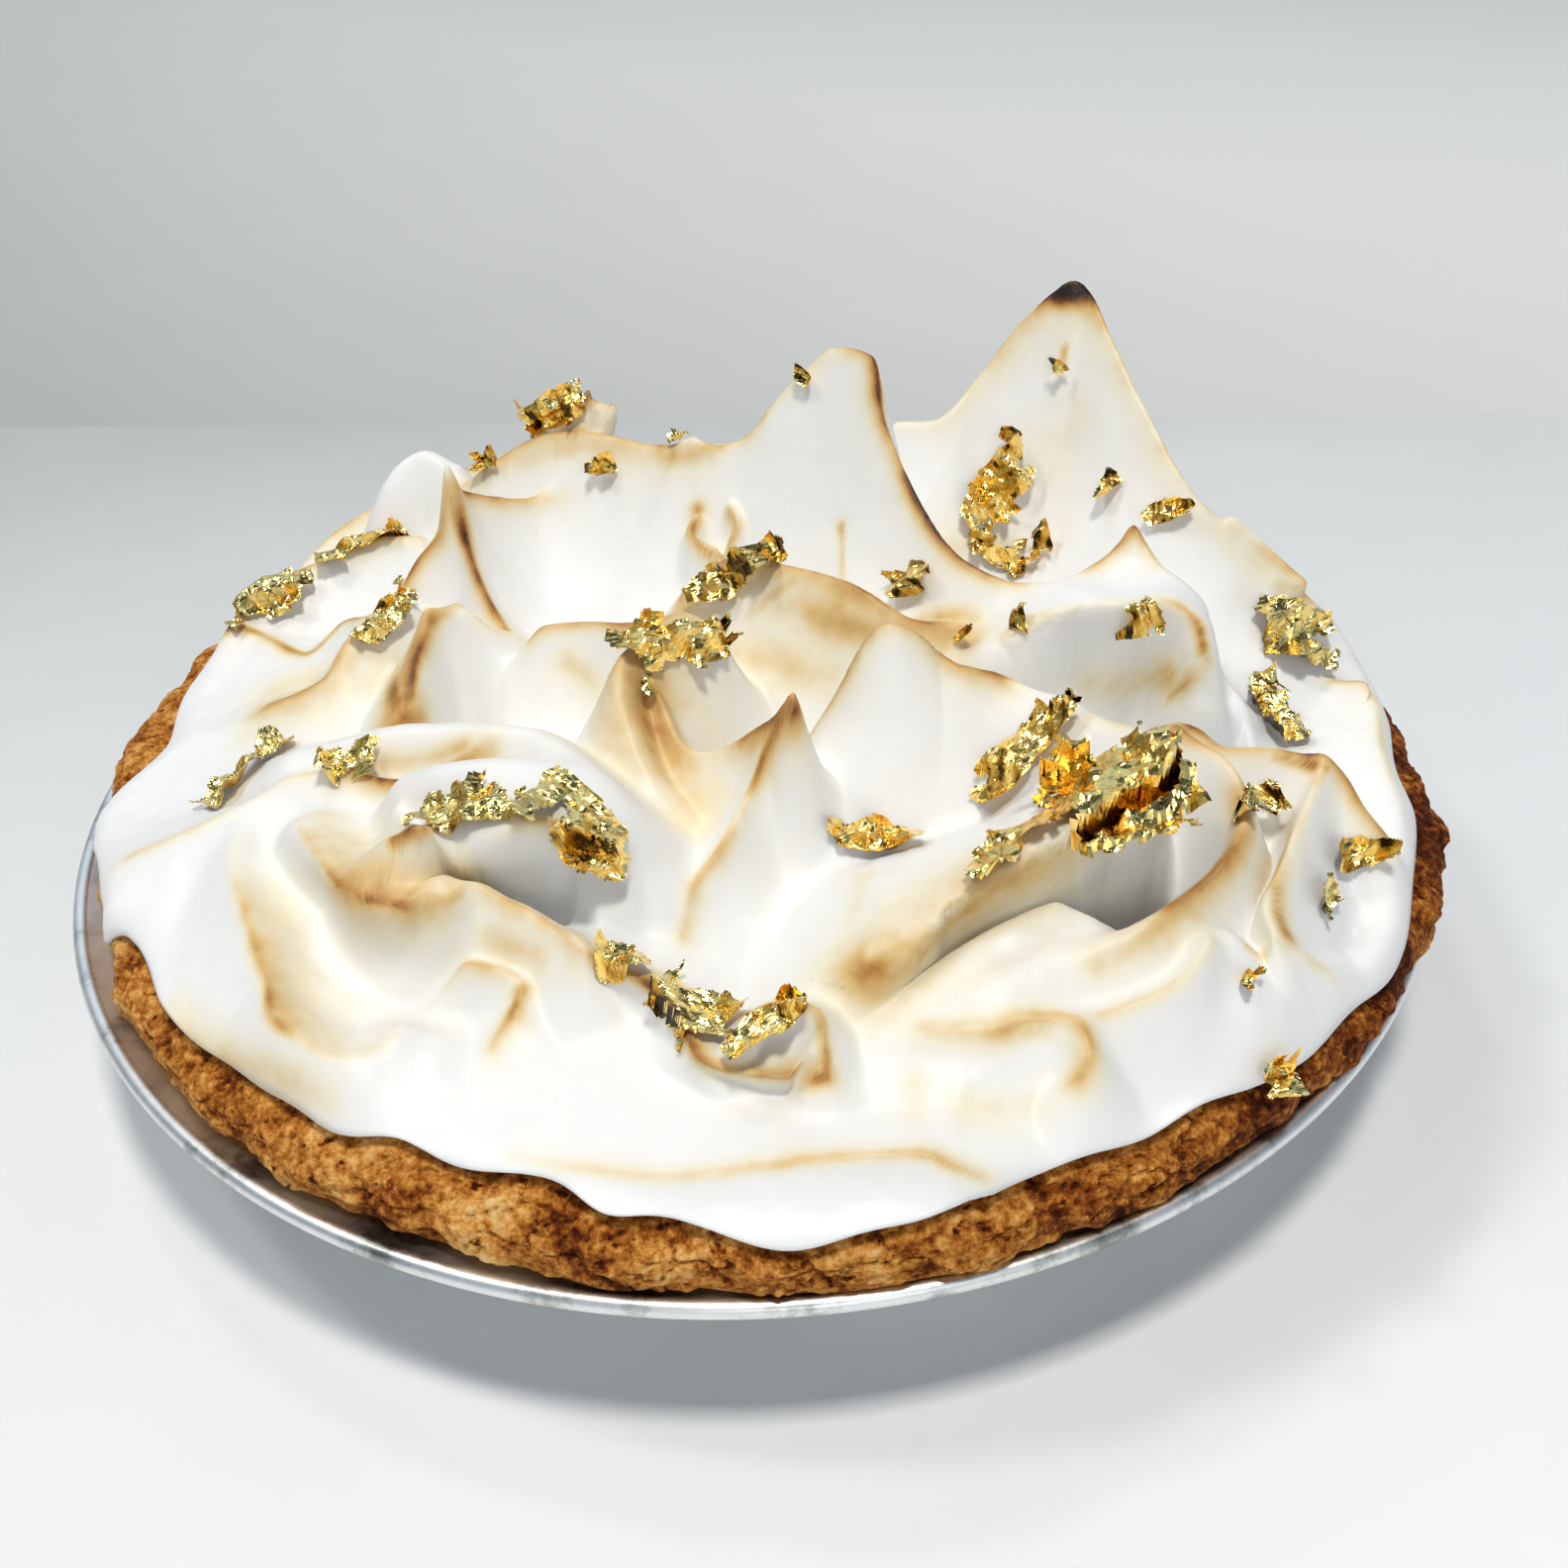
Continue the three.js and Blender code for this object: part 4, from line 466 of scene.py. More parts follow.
# Gold leaf: the cells of a sheet along and across, its thickness and its clearance
LEAF_SEED = 400
LEAF_CELLS = (40, 26)
LEAF_SHEET = 0.12
LEAF_CLEAR = 0.35
# How far off the meringue is looked for, how much lower than its middle a leaf may hang,
# how much larger the sheet is before its edge is torn, and how square its outline is
LEAF_SEARCH = 9
LEAF_DROP = 4
LEAF_SPREAD = 1.15
LEAF_SQUARENESS = 2.4
# Its wavy outline, as strength and size, and its curled edge: height, where it starts, and
# the mean, strength and size of the noise that curls some places more than others
LEAF_WAVER = (0.35, 2)
LEAF_CURL = 3.5
LEAF_CURL_START = 0.4
LEAF_CURL_NOISE = (0.3, 1.4, 5)
# Folds up and down, and from side to side: strength, count and size
LEAF_FOLDS = ((1.5, 3, 7), (1.2, 3, 3), (0.5, 2, 1.2))
LEAF_SIDE_FOLDS = (0.4, 4, 2.5)
LEAF_FOLD_SHARE = 0.55
FOLD_LENGTHS = (0.6, 1.6)
FOLD_HEIGHT = 0.22
# Where the sheet is torn off, with 1 at its plain edge, and how uneven: strength and size
TORN_EDGE = 0.95
TORN_NOISES = ((0.6, 4), (0.4, 1.6))
NOISE_SEEDS = 99
# Flecks: their width as a share of their length, and a height above the whole pie from
# which the meringue below each is looked for
FLECK_SEED = 77
FLECK_CELLS = (12, 12)
FLECK_WIDTH = 0.7
ABOVE_ALL = 130
# Painted reflection on the gold: the side of each fold that leans away from this direction is
# painted dark, as if it mirrored a dark room
DARK_REFLECTION_HEADING = np.array((0.75, 0.1, 0.65))

# Colour ramps of the materials
MERINGUE_TONES = (
    (0.0, (0.86, 0.855, 0.84)),
    (0.12, (0.84, 0.78, 0.62)),
    (0.35, (0.72, 0.52, 0.235)),
    (0.58, (0.52, 0.27, 0.07)),
    (0.80, (0.20, 0.07, 0.018)),
    (1.0, (0.02, 0.010, 0.006)),
)
CRUST_TONES = (
    (0.22, (0.06, 0.009, 0.001)),
    (0.38, (0.27, 0.064, 0.006)),
    (0.53, (0.58, 0.212, 0.030)),
    (0.67, (0.84, 0.40, 0.092)),
    (0.84, (1.0, 0.66, 0.26)),
)
TIN_TONES = ((0.36, (0.30, 0.30, 0.28)), (0.48, (0.82, 0.83, 0.81)), (0.7, (0.93, 0.94, 0.93)))
# The gold's ramp runs from a painted dark reflection, nearly black, up to the leaf's own bright
# gold
GOLD_AND_REFLECTION_TONES = (
    (0.39, (0.02, 0.012, 0.003)),
    (0.47, (0.52, 0.265, 0.03)),
    (0.62, (1.0, 0.64, 0.135)),
    (0.88, (1.0, 0.77, 0.29)),
)
# How strongly each noise shows in its material
MERINGUE_MOTTLE = 0.35
MERINGUE_SPECKLE = 0.22
CRUST_GRAIN = 1.15
CRUST_DARKENING = 0.78
CRUST_PALE_AND_SHADE_SHARE = 0.48
CRUST_PIT_LEVEL = 0.37
CRUST_PIT_TONE = 4.0
TIN_ROUGHNESS = 0.22
TIN_CLOUDING = 0.4
GOLD_MOTTLE = 0.35

# Stage, camera and light, in metres: two points of the table's back edge
TABLE_EDGE = ((-0.217, 0.2345), (0.2276, 0.2058))
# How the painted shade on the table and the wall runs, the screens round them having none: the
# direction in which it changes, per metre, and the colours along it, with SHADE_MIDDLE at the
# tin's centre
SHADE_MIDDLE = 0.4
FLOOR_SLOPE = (-0.3, 1, 0)
FLOOR_SHADES = ((0.20, (0.89, 0.895, 0.90)), (0.30, (0.81, 0.815, 0.82)),
                (0.53, (0.68, 0.685, 0.67)), (0.69, (0.465, 0.475, 0.46)))
WALL_SLOPE = (0.6, 0.6, 0)
WALL_SHADES = ((0.42, (0.445, 0.45, 0.44)), (0.61, (0.655, 0.65, 0.63)),
               (0.80, (0.82, 0.815, 0.775)), (1.0, (0.865, 0.86, 0.825)))
SCREEN_SLOPE = (0, 0, 0)
SCREEN_SHADES = ((0.37, (0.80, 0.80, 0.79)), (0.43, (0.84, 0.84, 0.83)))
STAGE_CLOUDS = 9
FLOOR_CLOUDING = 0.12
WALL_CLOUDING = 0.05
FLOOR_ROUGHNESS = 0.55
WALL_ROUGHNESS = 0.8
# How far the stage reaches from the table's back edge, how far the wall's far side lies
# below the table, and the height of the screens
STAGE_REACH = 4
WALL_FALL = 0.35
SCREEN_TOP = 1.6
# The surroundings that the metal reflects: dark and bright rooms, and how much more of them
# is bright behind the pie than in front of it
WORLD_SCALE = 1.7
WORLD_TONES = ((0.485, (0.02, 0.022, 0.025)), (0.515, (0.60, 0.74, 0.90)))
WORLD_BIAS = 0.08
# Lamps: name, place, size and power
LAMPS = (
    ("lamp_front", (0.10, -0.50, 2.0), (0.30, 0.30), 23.5),
    ("lamp_left", (-1.0, 0.10, 1.7), (0.30, 0.30), 7),
    ("lamp_back", (-0.45, 0.80, 1.9), (0.25, 0.25), 4),
    ("fill", (0.2, -1.6, 0.8), (1.0, 0.6), 4.5),
)
LAMP_AIM = (0, 0, 0.05)
LAMP_COLOR = (1.0, 0.965, 0.92)
# The camera's aim and distance are in millimetres, its pitch and roll in degrees
CAMERA_AIM = (6.2, 0.5, 30)
CAMERA_DISTANCE = 365.4
CAMERA_PITCH = 35.5
CAMERA_ROLL = -2.1
CAMERA_FOCAL_PIXELS = 2000
CAMERA_CLIP = 0.01
PHOTO_PIXELS = 1584
SENSOR = 36

# Small numbers that keep a division from failing
TINY = 1e-9
SMALL = 1e-6
# Whole numbers that scramble the place of a cell and a seed into a random value
SCRAMBLE = (374761393, 668265263, 1440662683, 974634777)
SCRAMBLE_AGAIN = 1274126177
ALL_BITS = 0xffffffff
LOW_BITS = 0xffff


# Small helpers

def clamp01(value):
    return np.clip(value, 0, 1)


def through(a, b, c, d, f):
    """The smooth curve from b to c at f, with a before and d after them."""
    slope = c - a
    bend = 2 * a - 5 * b + 4 * c - d
    twist = 3 * b - a - 3 * c + d
    return b + 0.5 * f * (slope + f * (bend + f * twist))


def radius_at(radii, angle):
    """A smooth closed run of radii, through one value for each equal step of the angle."""
    values = np.array(radii, float)
    place = (angle + np.pi) / (2 * np.pi) * len(values)
    step = np.floor(place).astype(int)
    picks = [values[(step + k) % len(values)] for k in (-1, 0, 1, 2)]
    return through(*picks, place - step)


def with_waves(angle, waves, base=0):
    """Sine waves round the pie, added to a base: size, count and start of each."""
    return sum((size * np.sin(count * angle + start) for size, count, start in waves), base)


def smooth_path(points, step):
    """Points along a smooth curve through the given ones, about one step apart."""
    run = np.array(points, float)
    run = np.vstack([2 * run[0] - run[1], run, 2 * run[-1] - run[-2]])
    path = []
    for i in range(len(run) - 3):
        a, b, c, d = run[i:i + 4]
        count = max(2, math.ceil(np.hypot(*(c - b)[:2]) / step))
        path += [through(a, b, c, d, k / count) for k in range(count)]
    path.append(run[-2])
    return np.array(path)


def noise(points, size, seed):
    """Smooth random values from -1 to 1, with lumps about one size across."""
    cell = np.floor(points / size).astype(np.int64)
    f = points / size - cell
    f = f * f * (3 - 2 * f)
    total = 0
    for corner in np.ndindex(2, 2, 2):
        weight = np.prod([f[:, k] if corner[k] else 1 - f[:, k] for k in range(3)], axis=0)
        x, y, z = (cell + corner).T
        mixed = sum(part * factor for part, factor in zip((x, y, z, seed), SCRAMBLE)) & ALL_BITS
        mixed = ((mixed ^ (mixed >> 13)) * SCRAMBLE_AGAIN) & ALL_BITS
        mixed = (mixed ^ (mixed >> 16)) & LOW_BITS
        total = total + weight * (2 * mixed / LOW_BITS - 1)
    return total


def layered_noise(points, size, layers, seed):
    """Noise with ever finer and weaker noise on it, each layer half the size of the last."""
    return sum(noise(points, size / 2 ** k, seed + k) / 2 ** k for k in range(layers))


def with_noise(points, *noises, base=0):
    """Noises added to a base: strength, size, layers and seed of each."""
    return sum((strength * layered_noise(points, size, layers, seed)
                for strength, size, layers, seed in noises), base)


def polar(r, angle, z):
    return np.stack([r * np.cos(angle), r * np.sin(angle), np.broadcast_to(z, np.shape(r))], -1)


def make_object(name, points, faces, material, smooth=True):
    """A mesh object from points in millimetres, riding on the pie."""
    mesh = bpy.data.meshes.new(name)
    faces = np.asarray(faces)
    sides = faces.shape[1]
    mesh.vertices.add(len(points))
    mesh.vertices.foreach_set("co", (np.asarray(points, float) * MM).ravel())
    mesh.loops.add(faces.size)
    mesh.loops.foreach_set("vertex_index", faces.ravel())
    mesh.polygons.add(len(faces))
    mesh.polygons.foreach_set("loop_start", np.arange(0, faces.size, sides))
    mesh.polygons.foreach_set("use_smooth", np.full(len(faces), smooth))
    mesh.update()
    mesh.validate()
    mesh.materials.append(material)
    made = bpy.data.objects.new(name, mesh)
    bpy.context.collection.objects.link(made)
    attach(made, BODY)
    return made


def add_values(made, name, values, domain="POINT"):
    """Gives each point or face of a piece a value that its material reads."""
    layer = made.data.attributes.new(name, "FLOAT", domain)
    layer.data.foreach_set("value", np.asarray(values, np.float32))


def grid_faces(rows, columns, closed=False):
    """Quads of a grid of points, counted row by row."""
    index = np.arange(rows * columns).reshape(rows, columns)
    if closed:
        index = np.hstack([index, index[:, :1]])
    corners = [index[:-1, :-1], index[:-1, 1:], index[1:, 1:], index[1:, :-1]]
    return np.stack(corners, -1).reshape(-1, 4)


# Materials

class Nodes:
    """The node tree of a material or of the world, with short calls to add and join nodes."""

    def __init__(self, owner):
        owner.use_nodes = True
        self.tree = owner.node_tree

    def add(self, kind, **inputs):
        node = self.tree.nodes.new(kind)
        self.fill(node, **inputs)
        return node

    def fill(self, node, **inputs):
        """Sets or links inputs of a node, each by its name with _ for a space."""
        for key, value in inputs.items():
            self.set(node, key.replace("_", " "), value)

    def set(self, node, key, value):
        if isinstance(value, bpy.types.NodeSocket):
            self.tree.links.new(value, node.inputs[key])
        else:
            node.inputs[key].default_value = value

    def ramp(self, factor, stops):
        node = self.add("ShaderNodeValToRGB", Fac=factor)
        elements = node.color_ramp.elements
        while len(elements) < len(stops):
            elements.new(0.5)
        for element, (position, color) in zip(elements, stops):
            element.position = position
            element.color = (*color, 1)
        return node.outputs["Color"]

    def operate(self, kind, operation, values):
        node = self.tree.nodes.new(kind)
        node.operation = operation
        for index, value in enumerate(values):
            self.set(node, index, value)
        return node.outputs["Value"]

    def math(self, operation, *values):
        return self.operate("ShaderNodeMath", operation, values)

    def plus(self, first, second):
        return self.math("ADD", first, second)

    def minus(self, first, second):
        return self.math("SUBTRACT", first, second)

    def times(self, first, second):
        return self.math("MULTIPLY", first, second)


class Material(Nodes):
    """A new material and its node tree."""

    def __init__(self, name):
        self.made = bpy.data.materials.new(name)
        super().__init__(self.made)
        self.shader = self.tree.nodes["Principled BSDF"]

    def shade(self, **inputs):
        self.fill(self.shader, **inputs)

    def place(self):
        return self.add("ShaderNodeTexCoord").outputs["Object"]

    def noise(self, scale, detail=4, roughness=0.55):
        node = self.add("ShaderNodeTexNoise", Vector=self.place(), Scale=scale, Detail=detail,
                        Roughness=roughness)
        return node.outputs["Fac"]

    def attribute(self, name):
        node = self.tree.nodes.new("ShaderNodeAttribute")
        node.attribute_name = name
        return node.outputs["Fac"]

    def bump(self, height, distance, strength):
        node = self.add("ShaderNodeBump", Height=height, Distance=distance, Strength=strength)
        self.shade(Normal=node.outputs["Normal"])


def meringue_material():
    """Matt white, browned where toast says so, with mottled and speckled edges of the brown.
    The toast also brings painted shade under the thick roll and the diagonal roll.
    """
    nodes = Material("meringue")
    speckle = nodes.minus(nodes.noise(scale=900, detail=3), 0.5)
    mottle = nodes.minus(nodes.noise(scale=160), 0.5)
    uneven = nodes.plus(nodes.times(mottle, MERINGUE_MOTTLE),
                        nodes.times(speckle, MERINGUE_SPECKLE))
    toast = nodes.times(nodes.attribute("toast"), nodes.plus(1.0, uneven))
    nodes.shade(Base_Color=nodes.ramp(toast, MERINGUE_TONES), Roughness=0.42,
                Subsurface_Weight=0.12, Subsurface_Scale=0.004, Specular_IOR_Level=0.35)
    nodes.bump(nodes.noise(scale=700, detail=5), distance=0.0002, strength=0.35)
    return nodes.made


def crust_material():
    """Baked pastry: patches and grain, painted highlight on its lumps and painted shade in its
    cracks and along its right side, with small burnt pits.
    """
    nodes = Material("crust")
    patches = nodes.noise(scale=60, detail=5, roughness=0.6)
    grain = nodes.noise(scale=700, detail=5, roughness=0.7)
    pits = nodes.noise(scale=330, detail=3, roughness=0.6)
    mixed = nodes.plus(patches, nodes.times(grain, CRUST_GRAIN))
    # depth holds baked tone plus painted highlight on lumps and painted shade in cracks and at
    # the right
    baked = nodes.plus(nodes.minus(mixed, CRUST_DARKENING),
                       nodes.times(nodes.attribute("depth"), CRUST_PALE_AND_SHADE_SHARE))
    pitted = nodes.math("MAXIMUM", nodes.minus(CRUST_PIT_LEVEL, pits), 0.0)
    tone = nodes.minus(baked, nodes.times(pitted, CRUST_PIT_TONE))
    nodes.shade(Base_Color=nodes.ramp(tone, CRUST_TONES), Roughness=0.7,
                Specular_IOR_Level=0.12)
    nodes.bump(nodes.noise(scale=520, detail=6, roughness=0.7), distance=0.0014, strength=1.0)
    return nodes.made


def tin_material():
    """Thin bright metal with cloudy dull patches and a fine grain."""
    nodes = Material("tin")
    cloud = nodes.noise(scale=60, detail=8, roughness=0.7)
    rough = nodes.plus(TIN_ROUGHNESS, nodes.times(cloud, TIN_CLOUDING))
    nodes.shade(Base_Color=nodes.ramp(cloud, TIN_TONES), Metallic=1.0, Roughness=rough)
    nodes.bump(nodes.noise(scale=1500, detail=3), distance=0.00005, strength=0.4)
    return nodes.made


def gold_material():
    """Bright leaf gold, with a painted dark reflection, nearly black, on the side of each fold
    that leans away.
    """
    nodes = Material("gold")
    broad = nodes.noise(scale=300, detail=3)
    tone = nodes.plus(nodes.attribute("fold"), nodes.times(broad, GOLD_MOTTLE))
    nodes.shade(Base_Color=nodes.ramp(tone, GOLD_AND_REFLECTION_TONES), Metallic=1.0, Roughness=0.14)
    nodes.bump(nodes.noise(scale=1600, roughness=0.6), distance=0.0003, strength=0.3)
    return nodes.made


# Crust

def crust_radius(angle):
    return radius_at(CRUST_RADII, angle) + CRUST_SIDE_LUMPS * with_waves(angle, CRUST_WAVES)


def crust_top(r, angle):
    """Height of the crust's top: a round shoulder, then a slope down to the filling."""
    shoulder = crust_radius(angle) - CRUST_SHOULDER
    top = CRUST_TOP + CRUST_TOP_LUMPS * with_waves(angle + CRUST_TOP_SHIFT, CRUST_WAVES)
    out = clamp01((r - shoulder) / CRUST_SHOULDER)
    face = CRUST_WAIST + (top - CRUST_WAIST) * np.sqrt(1 - out * out)
    inward = clamp01((shoulder - r) / CRUST_INNER_SLOPE)
    inside = top - (top - CRUST_FILL) * (0.5 - 0.5 * np.cos(np.pi * inward))
    return np.where(r > shoulder, face, inside)


def crust_rows(angle):
    """Rows of points round the crust, from its floor in the tin out and up over its top."""
    outer = crust_radius(angle)
    rows = [polar(np.full_like(angle, r), angle, z) for r, z in CRUST_FOOT]
    rows += [polar(outer - inset, angle, TIN_HEIGHT + rise) for inset, rise in CRUST_UNDER]
    wide, high = CRUST_SIDE_ROUND
    for turn in np.linspace(*CRUST_SIDE_TURN):
        out = math.cos(math.radians(turn))
        down = math.sin(math.radians(turn))
        rows.append(polar(outer - wide + wide * out, angle, CRUST_WAIST + high * down))
    for turn in np.linspace(*CRUST_SHOULDER_TURN):
        r = outer - CRUST_SHOULDER * (1 - math.cos(math.radians(turn)))
        rows.append(polar(r, angle, crust_top(r, angle)))
    for inset in np.linspace(*CRUST_SLOPE_INSETS):
        rows.append(polar(outer - inset, angle, crust_top(outer - inset, angle)))
    return np.array(rows)


def crust_relief(points):
    """How far the baked surface stands out: rope-like lumps parted by slanting creases,
    cracks, flakes and broad swellings."""
    along = np.arctan2(points[:, 1], points[:, 0]) * ROPE_RADIUS
    slant = along + ROPE_SLANT * (points[:, 2] - CRUST_WAIST)
    slant = slant + with_noise(points, ROPE_WANDER)
    crease = np.abs(np.sin(slant / ROPE_LENGTH * np.pi + with_noise(points, ROPE_UNEVEN)))
    lumps = ROPE_HEIGHT * (crease ** ROPE_POWER - ROPE_LEVEL)
    stretched = points * CRUST_STRETCH
    crack = 1 - np.abs(with_noise(stretched, CRACK_NOISE))
    cracks = -CRACK_DEPTH * clamp01((crack - CRACK_START) / (1 - CRACK_START)) ** CRACK_POWER
    flakes = with_noise(stretched, FLAKE_NOISE)
    broad = with_noise(points, SWELL_NOISE)
    return np.minimum(lumps + cracks + flakes + broad - CRUST_SETTLE, CRUST_PROUD)


def build_crust():
    angle = np.linspace(-np.pi, np.pi, CRUST_AROUND, endpoint=False)
    points = crust_rows(angle)
    count = len(points)
    covered = len(CRUST_FOOT) + len(CRUST_UNDER)
    side = covered + CRUST_SIDE_TURN[-1]
    outward = np.stack([np.cos(angle), np.sin(angle), np.zeros_like(angle)], -1)
    lean = np.zeros((count, 1, 3))
    lean[covered:side, 0, 2] = np.linspace(*CRUST_SIDE_LEAN, side - covered)
    lean[side:, 0, 2] = np.linspace(*CRUST_TOP_LEAN, count - side)
    normal = np.broadcast_to(outward, points.shape) + lean
    normal = (normal / np.linalg.norm(normal, axis=-1, keepdims=True)).reshape(-1, 3)
    points = points.reshape(-1, 3)
    in_open = np.repeat(np.arange(count) >= covered, CRUST_AROUND)
    push = np.where(in_open, crust_relief(points), 0)
    points = points + normal * push[:, None]

    made = make_object("crust_baked", points, grid_faces(count, CRUST_AROUND, closed=True),
                       crust_material())
    # Paleness with painted light: paler on lumps and darker in cracks by relief, darker at the
    # right as painted shade
    pale = with_noise(points, CRUST_BLUSH, base=CRUST_PALE + CRUST_RELIEF_LIGHT_AND_SHADE * push)
    start, width = CRUST_RIGHT_SHADE_FROM
    right_shade = CRUST_RIGHT_SHADE * clamp01((points[:, 0] - start) / width)
    add_values(made, "depth", clamp01(pale - right_shade))
    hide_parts("crust")


# Tin

def around(r, z, steps):
    """Points of a corner's profile, each a step out and up from the corner."""
    return [(r + out, z + up) for out, up in steps]


def build_tin():
    bead = (TIN_RIM_RADIUS - TIN_BEAD_RADIUS, TIN_HEIGHT - TIN_BEAD_RADIUS)
    flange = bead[1] - TIN_SHEET / 2 + TIN_FLANGE_RISE
    profile = [(TIN_MIDDLE, 0)]
    profile += around(TIN_FLOOR_RADIUS, 0, TIN_FOOT)
    profile += around(TIN_MOUTH_RADIUS, flange, TIN_BEND)
    for turn in range(*TIN_BEAD_TURN):
        profile.append((bead[0] + TIN_BEAD_RADIUS * math.cos(math.radians(turn)),
                        bead[1] + TIN_BEAD_RADIUS * math.sin(math.radians(turn))))
    profile += around(TIN_MOUTH_RADIUS, flange + TIN_SHEET, TIN_INNER_BEND)
    profile += around(TIN_FLOOR_RADIUS, TIN_SHEET, TIN_INNER_FOOT)
    profile.append((TIN_MIDDLE, TIN_SHEET))
    angle = np.linspace(-np.pi, np.pi, TIN_SIDES, endpoint=False)
    points = np.vstack([polar(np.full_like(angle, r), angle, z) for r, z in profile])
    made = make_object("tin_sheet", points, grid_faces(len(profile), TIN_SIDES, closed=True),
                       tin_material())
    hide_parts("tin")


# Meringue

def meringue_radius(angle):
    radius = with_waves(angle, EDGE_RIPPLES, radius_at(MERINGUE_RADII, angle))
    for at, width, out in DRIPS:
        radius = radius + out * np.exp(-((np.degrees(angle) - at) / width) ** 2)
    return radius


def dome_height(x, y):
    out = np.hypot(x, y) / MERINGUE_DOME_RADIUS
    return MERINGUE_EDGE_HEIGHT + MERINGUE_MIDDLE_RISE * (1 - out ** MERINGUE_DOME_POWER)


def lean_started(steps):
    """A crest begins to lean little by little over its first millimetres."""
    return np.minimum(1, steps * CREST_STEP / LEAN_RUN)


def left_share(side, sharpness):
    """How far a point counts as left of a run, from 0 to 1, with a quick change over it."""
    return 0.5 + 0.5 * np.clip(sharpness * side, -1, 1)


def crest_lift(crest, x, y):
    """How high one crest lifts the meringue at points of the plan, and what share of its
    lean is felt there: none at the foot of the flank or where the crest begins."""
    run = smooth_path(crest["path"], CREST_STEP)
    lean = crest.get("lean", (0, 0))
    run = run - lean_started(np.arange(len(run)))[:, None] * (*lean, 0)
    lifts = run[:, 2] - dome_height(run[:, 0], run[:, 1])
    best = np.zeros_like(x)
    carry = np.zeros_like(x)
    for i in range(len(run) - 1):
        (ax, ay, _), (bx, by, _) = run[i], run[i + 1]
        dx, dy = bx - ax, by - ay
        long = math.hypot(dx, dy) + TINY
        t = clamp01(((x - ax) * dx + (y - ay) * dy) / long ** 2)
        ex, ey = x - ax - t * dx, y - ay - t * dy
        away = np.hypot(ex, ey)
        side = (dx * ey - dy * ex) / long / np.maximum(away, SMALL)
        to_left = left_share(side, CREST_SHARPNESS)
        reach = crest["right"] + (crest["left"] - crest["right"]) * to_left
        fall = ((np.hypot(away, crest["round"]) - crest["round"])
                / (np.hypot(reach, crest["round"]) - crest["round"]))
        near = clamp01(1 - fall) ** crest["power"]
        lift = np.maximum(0, lifts[i] + t * (lifts[i + 1] - lifts[i])) * near
        higher = lift > best
        best = np.where(higher, lift, best)
        carry = np.where(higher, near ** 2 * lean_started(i + t), carry)
    return best, carry


def hollow_depth(hollow, x, y):
    ax, ay = hollow["start"]
    dx, dy = np.subtract(hollow["end"], hollow["start"])
    t = clamp01(((x - ax) * dx + (y - ay) * dy) / (dx * dx + dy * dy))
    out = clamp01(np.hypot(x - ax - t * dx, y - ay - t * dy) / hollow["width"])
    return hollow["depth"] * (1 - out * out) ** 2


def near_path(path, reach, x, y):
    """Marks the points of the plan that a crest or patch can reach."""
    low = np.min(path, axis=0) - reach - PATH_MARGIN
    high = np.max(path, axis=0) + reach + PATH_MARGIN
    return (x > low[0]) & (x < high[0]) & (y > low[1]) & (y < high[1])


def meringue_surface(x, y):
    """The surface over points of the plan: the dome with its crests, less the hollows, and
    rounded down to the crust at its edge."""
    total = np.full_like(x, TINY)
    lean = np.zeros((2, *x.shape))
    for crest in CRESTS.values():
        near = near_path(crest["path"], max(crest["left"], crest["right"]), x, y)
        lift, carry = crest_lift(crest, x[near], y[near])
        weight = lift ** BLEND
        total[near] += weight
        for k, way in enumerate(crest.get("lean", (0, 0))):
            lean[k][near] += weight * carry * way
    z = dome_height(x, y) + total ** (1 / BLEND)
    for hollow in HOLLOWS:
        z = z - hollow_depth(hollow, x, y)
    angle = np.arctan2(y, x)
    edge = meringue_radius(angle)
    r = np.hypot(x, y)
    inside = clamp01((edge - r) / LIP_ROUND)
    foot = crust_top(np.minimum(r, edge - LIP_LEAST), angle) + MERINGUE_REST + LIP_DEPTH
    z = foot + np.maximum(z - foot, LIP_LEAST) * np.sqrt(1 - (1 - inside) ** 2)
    return np.stack([x + lean[0] / total, y + lean[1] / total, z], -1)


def softened(z):
    """Takes the finest ripples out of a grid of heights."""
    for _ in range(SOFT_PASSES):
        inner = (z[:-2, 1:-1] + z[2:, 1:-1] + z[1:-1, :-2] + z[1:-1, 2:]) / 4
        z[1:-1, 1:-1] = 0.5 * z[1:-1, 1:-1] + 0.5 * inner
    return z


def toast_mark(path, toast, brown, line, points):
    """The brown that one crest or patch has at points of the meringue: a thin darker line
    along it, and a wash that spreads from it to either side."""
    run = smooth_path(path, TOAST_STEP)
    tones = np.interp(np.linspace(0, 1, len(run)), np.linspace(0, 1, len(toast)), toast)
    away = np.full(len(points), np.inf)
    side = np.zeros(len(points))
    tone = np.zeros(len(points))
    for i in range(len(run) - 1):
        a = run[i]
        d = run[i + 1] - a
        t = clamp01((points - a) @ d / (d @ d + TINY))
        e = points - a - t[:, None] * d
        length = np.linalg.norm(e, axis=1)
        closer = length < away
        across = (d[0] * e[:, 1] - d[1] * e[:, 0]) / max(math.hypot(d[0], d[1]), SMALL)
        side = np.where(closer, across / np.maximum(length, SMALL), side)
        tone = np.where(closer, tones[i] + t * (tones[i + 1] - tones[i]), tone)
        away = np.minimum(away, length)
    left, right = brown
    spread = right + (left - right) * left_share(side, TOAST_SHARPNESS)
    halo = (TOAST_WASH * np.exp(-(away / spread) ** TOAST_FALL)
            + TOAST_HAZE * np.exp(-(away / (TOAST_HAZE_REACH * spread)) ** TOAST_FALL)
            + line * np.exp(-(away / TOAST_LINE) ** 2))
    return tone * halo


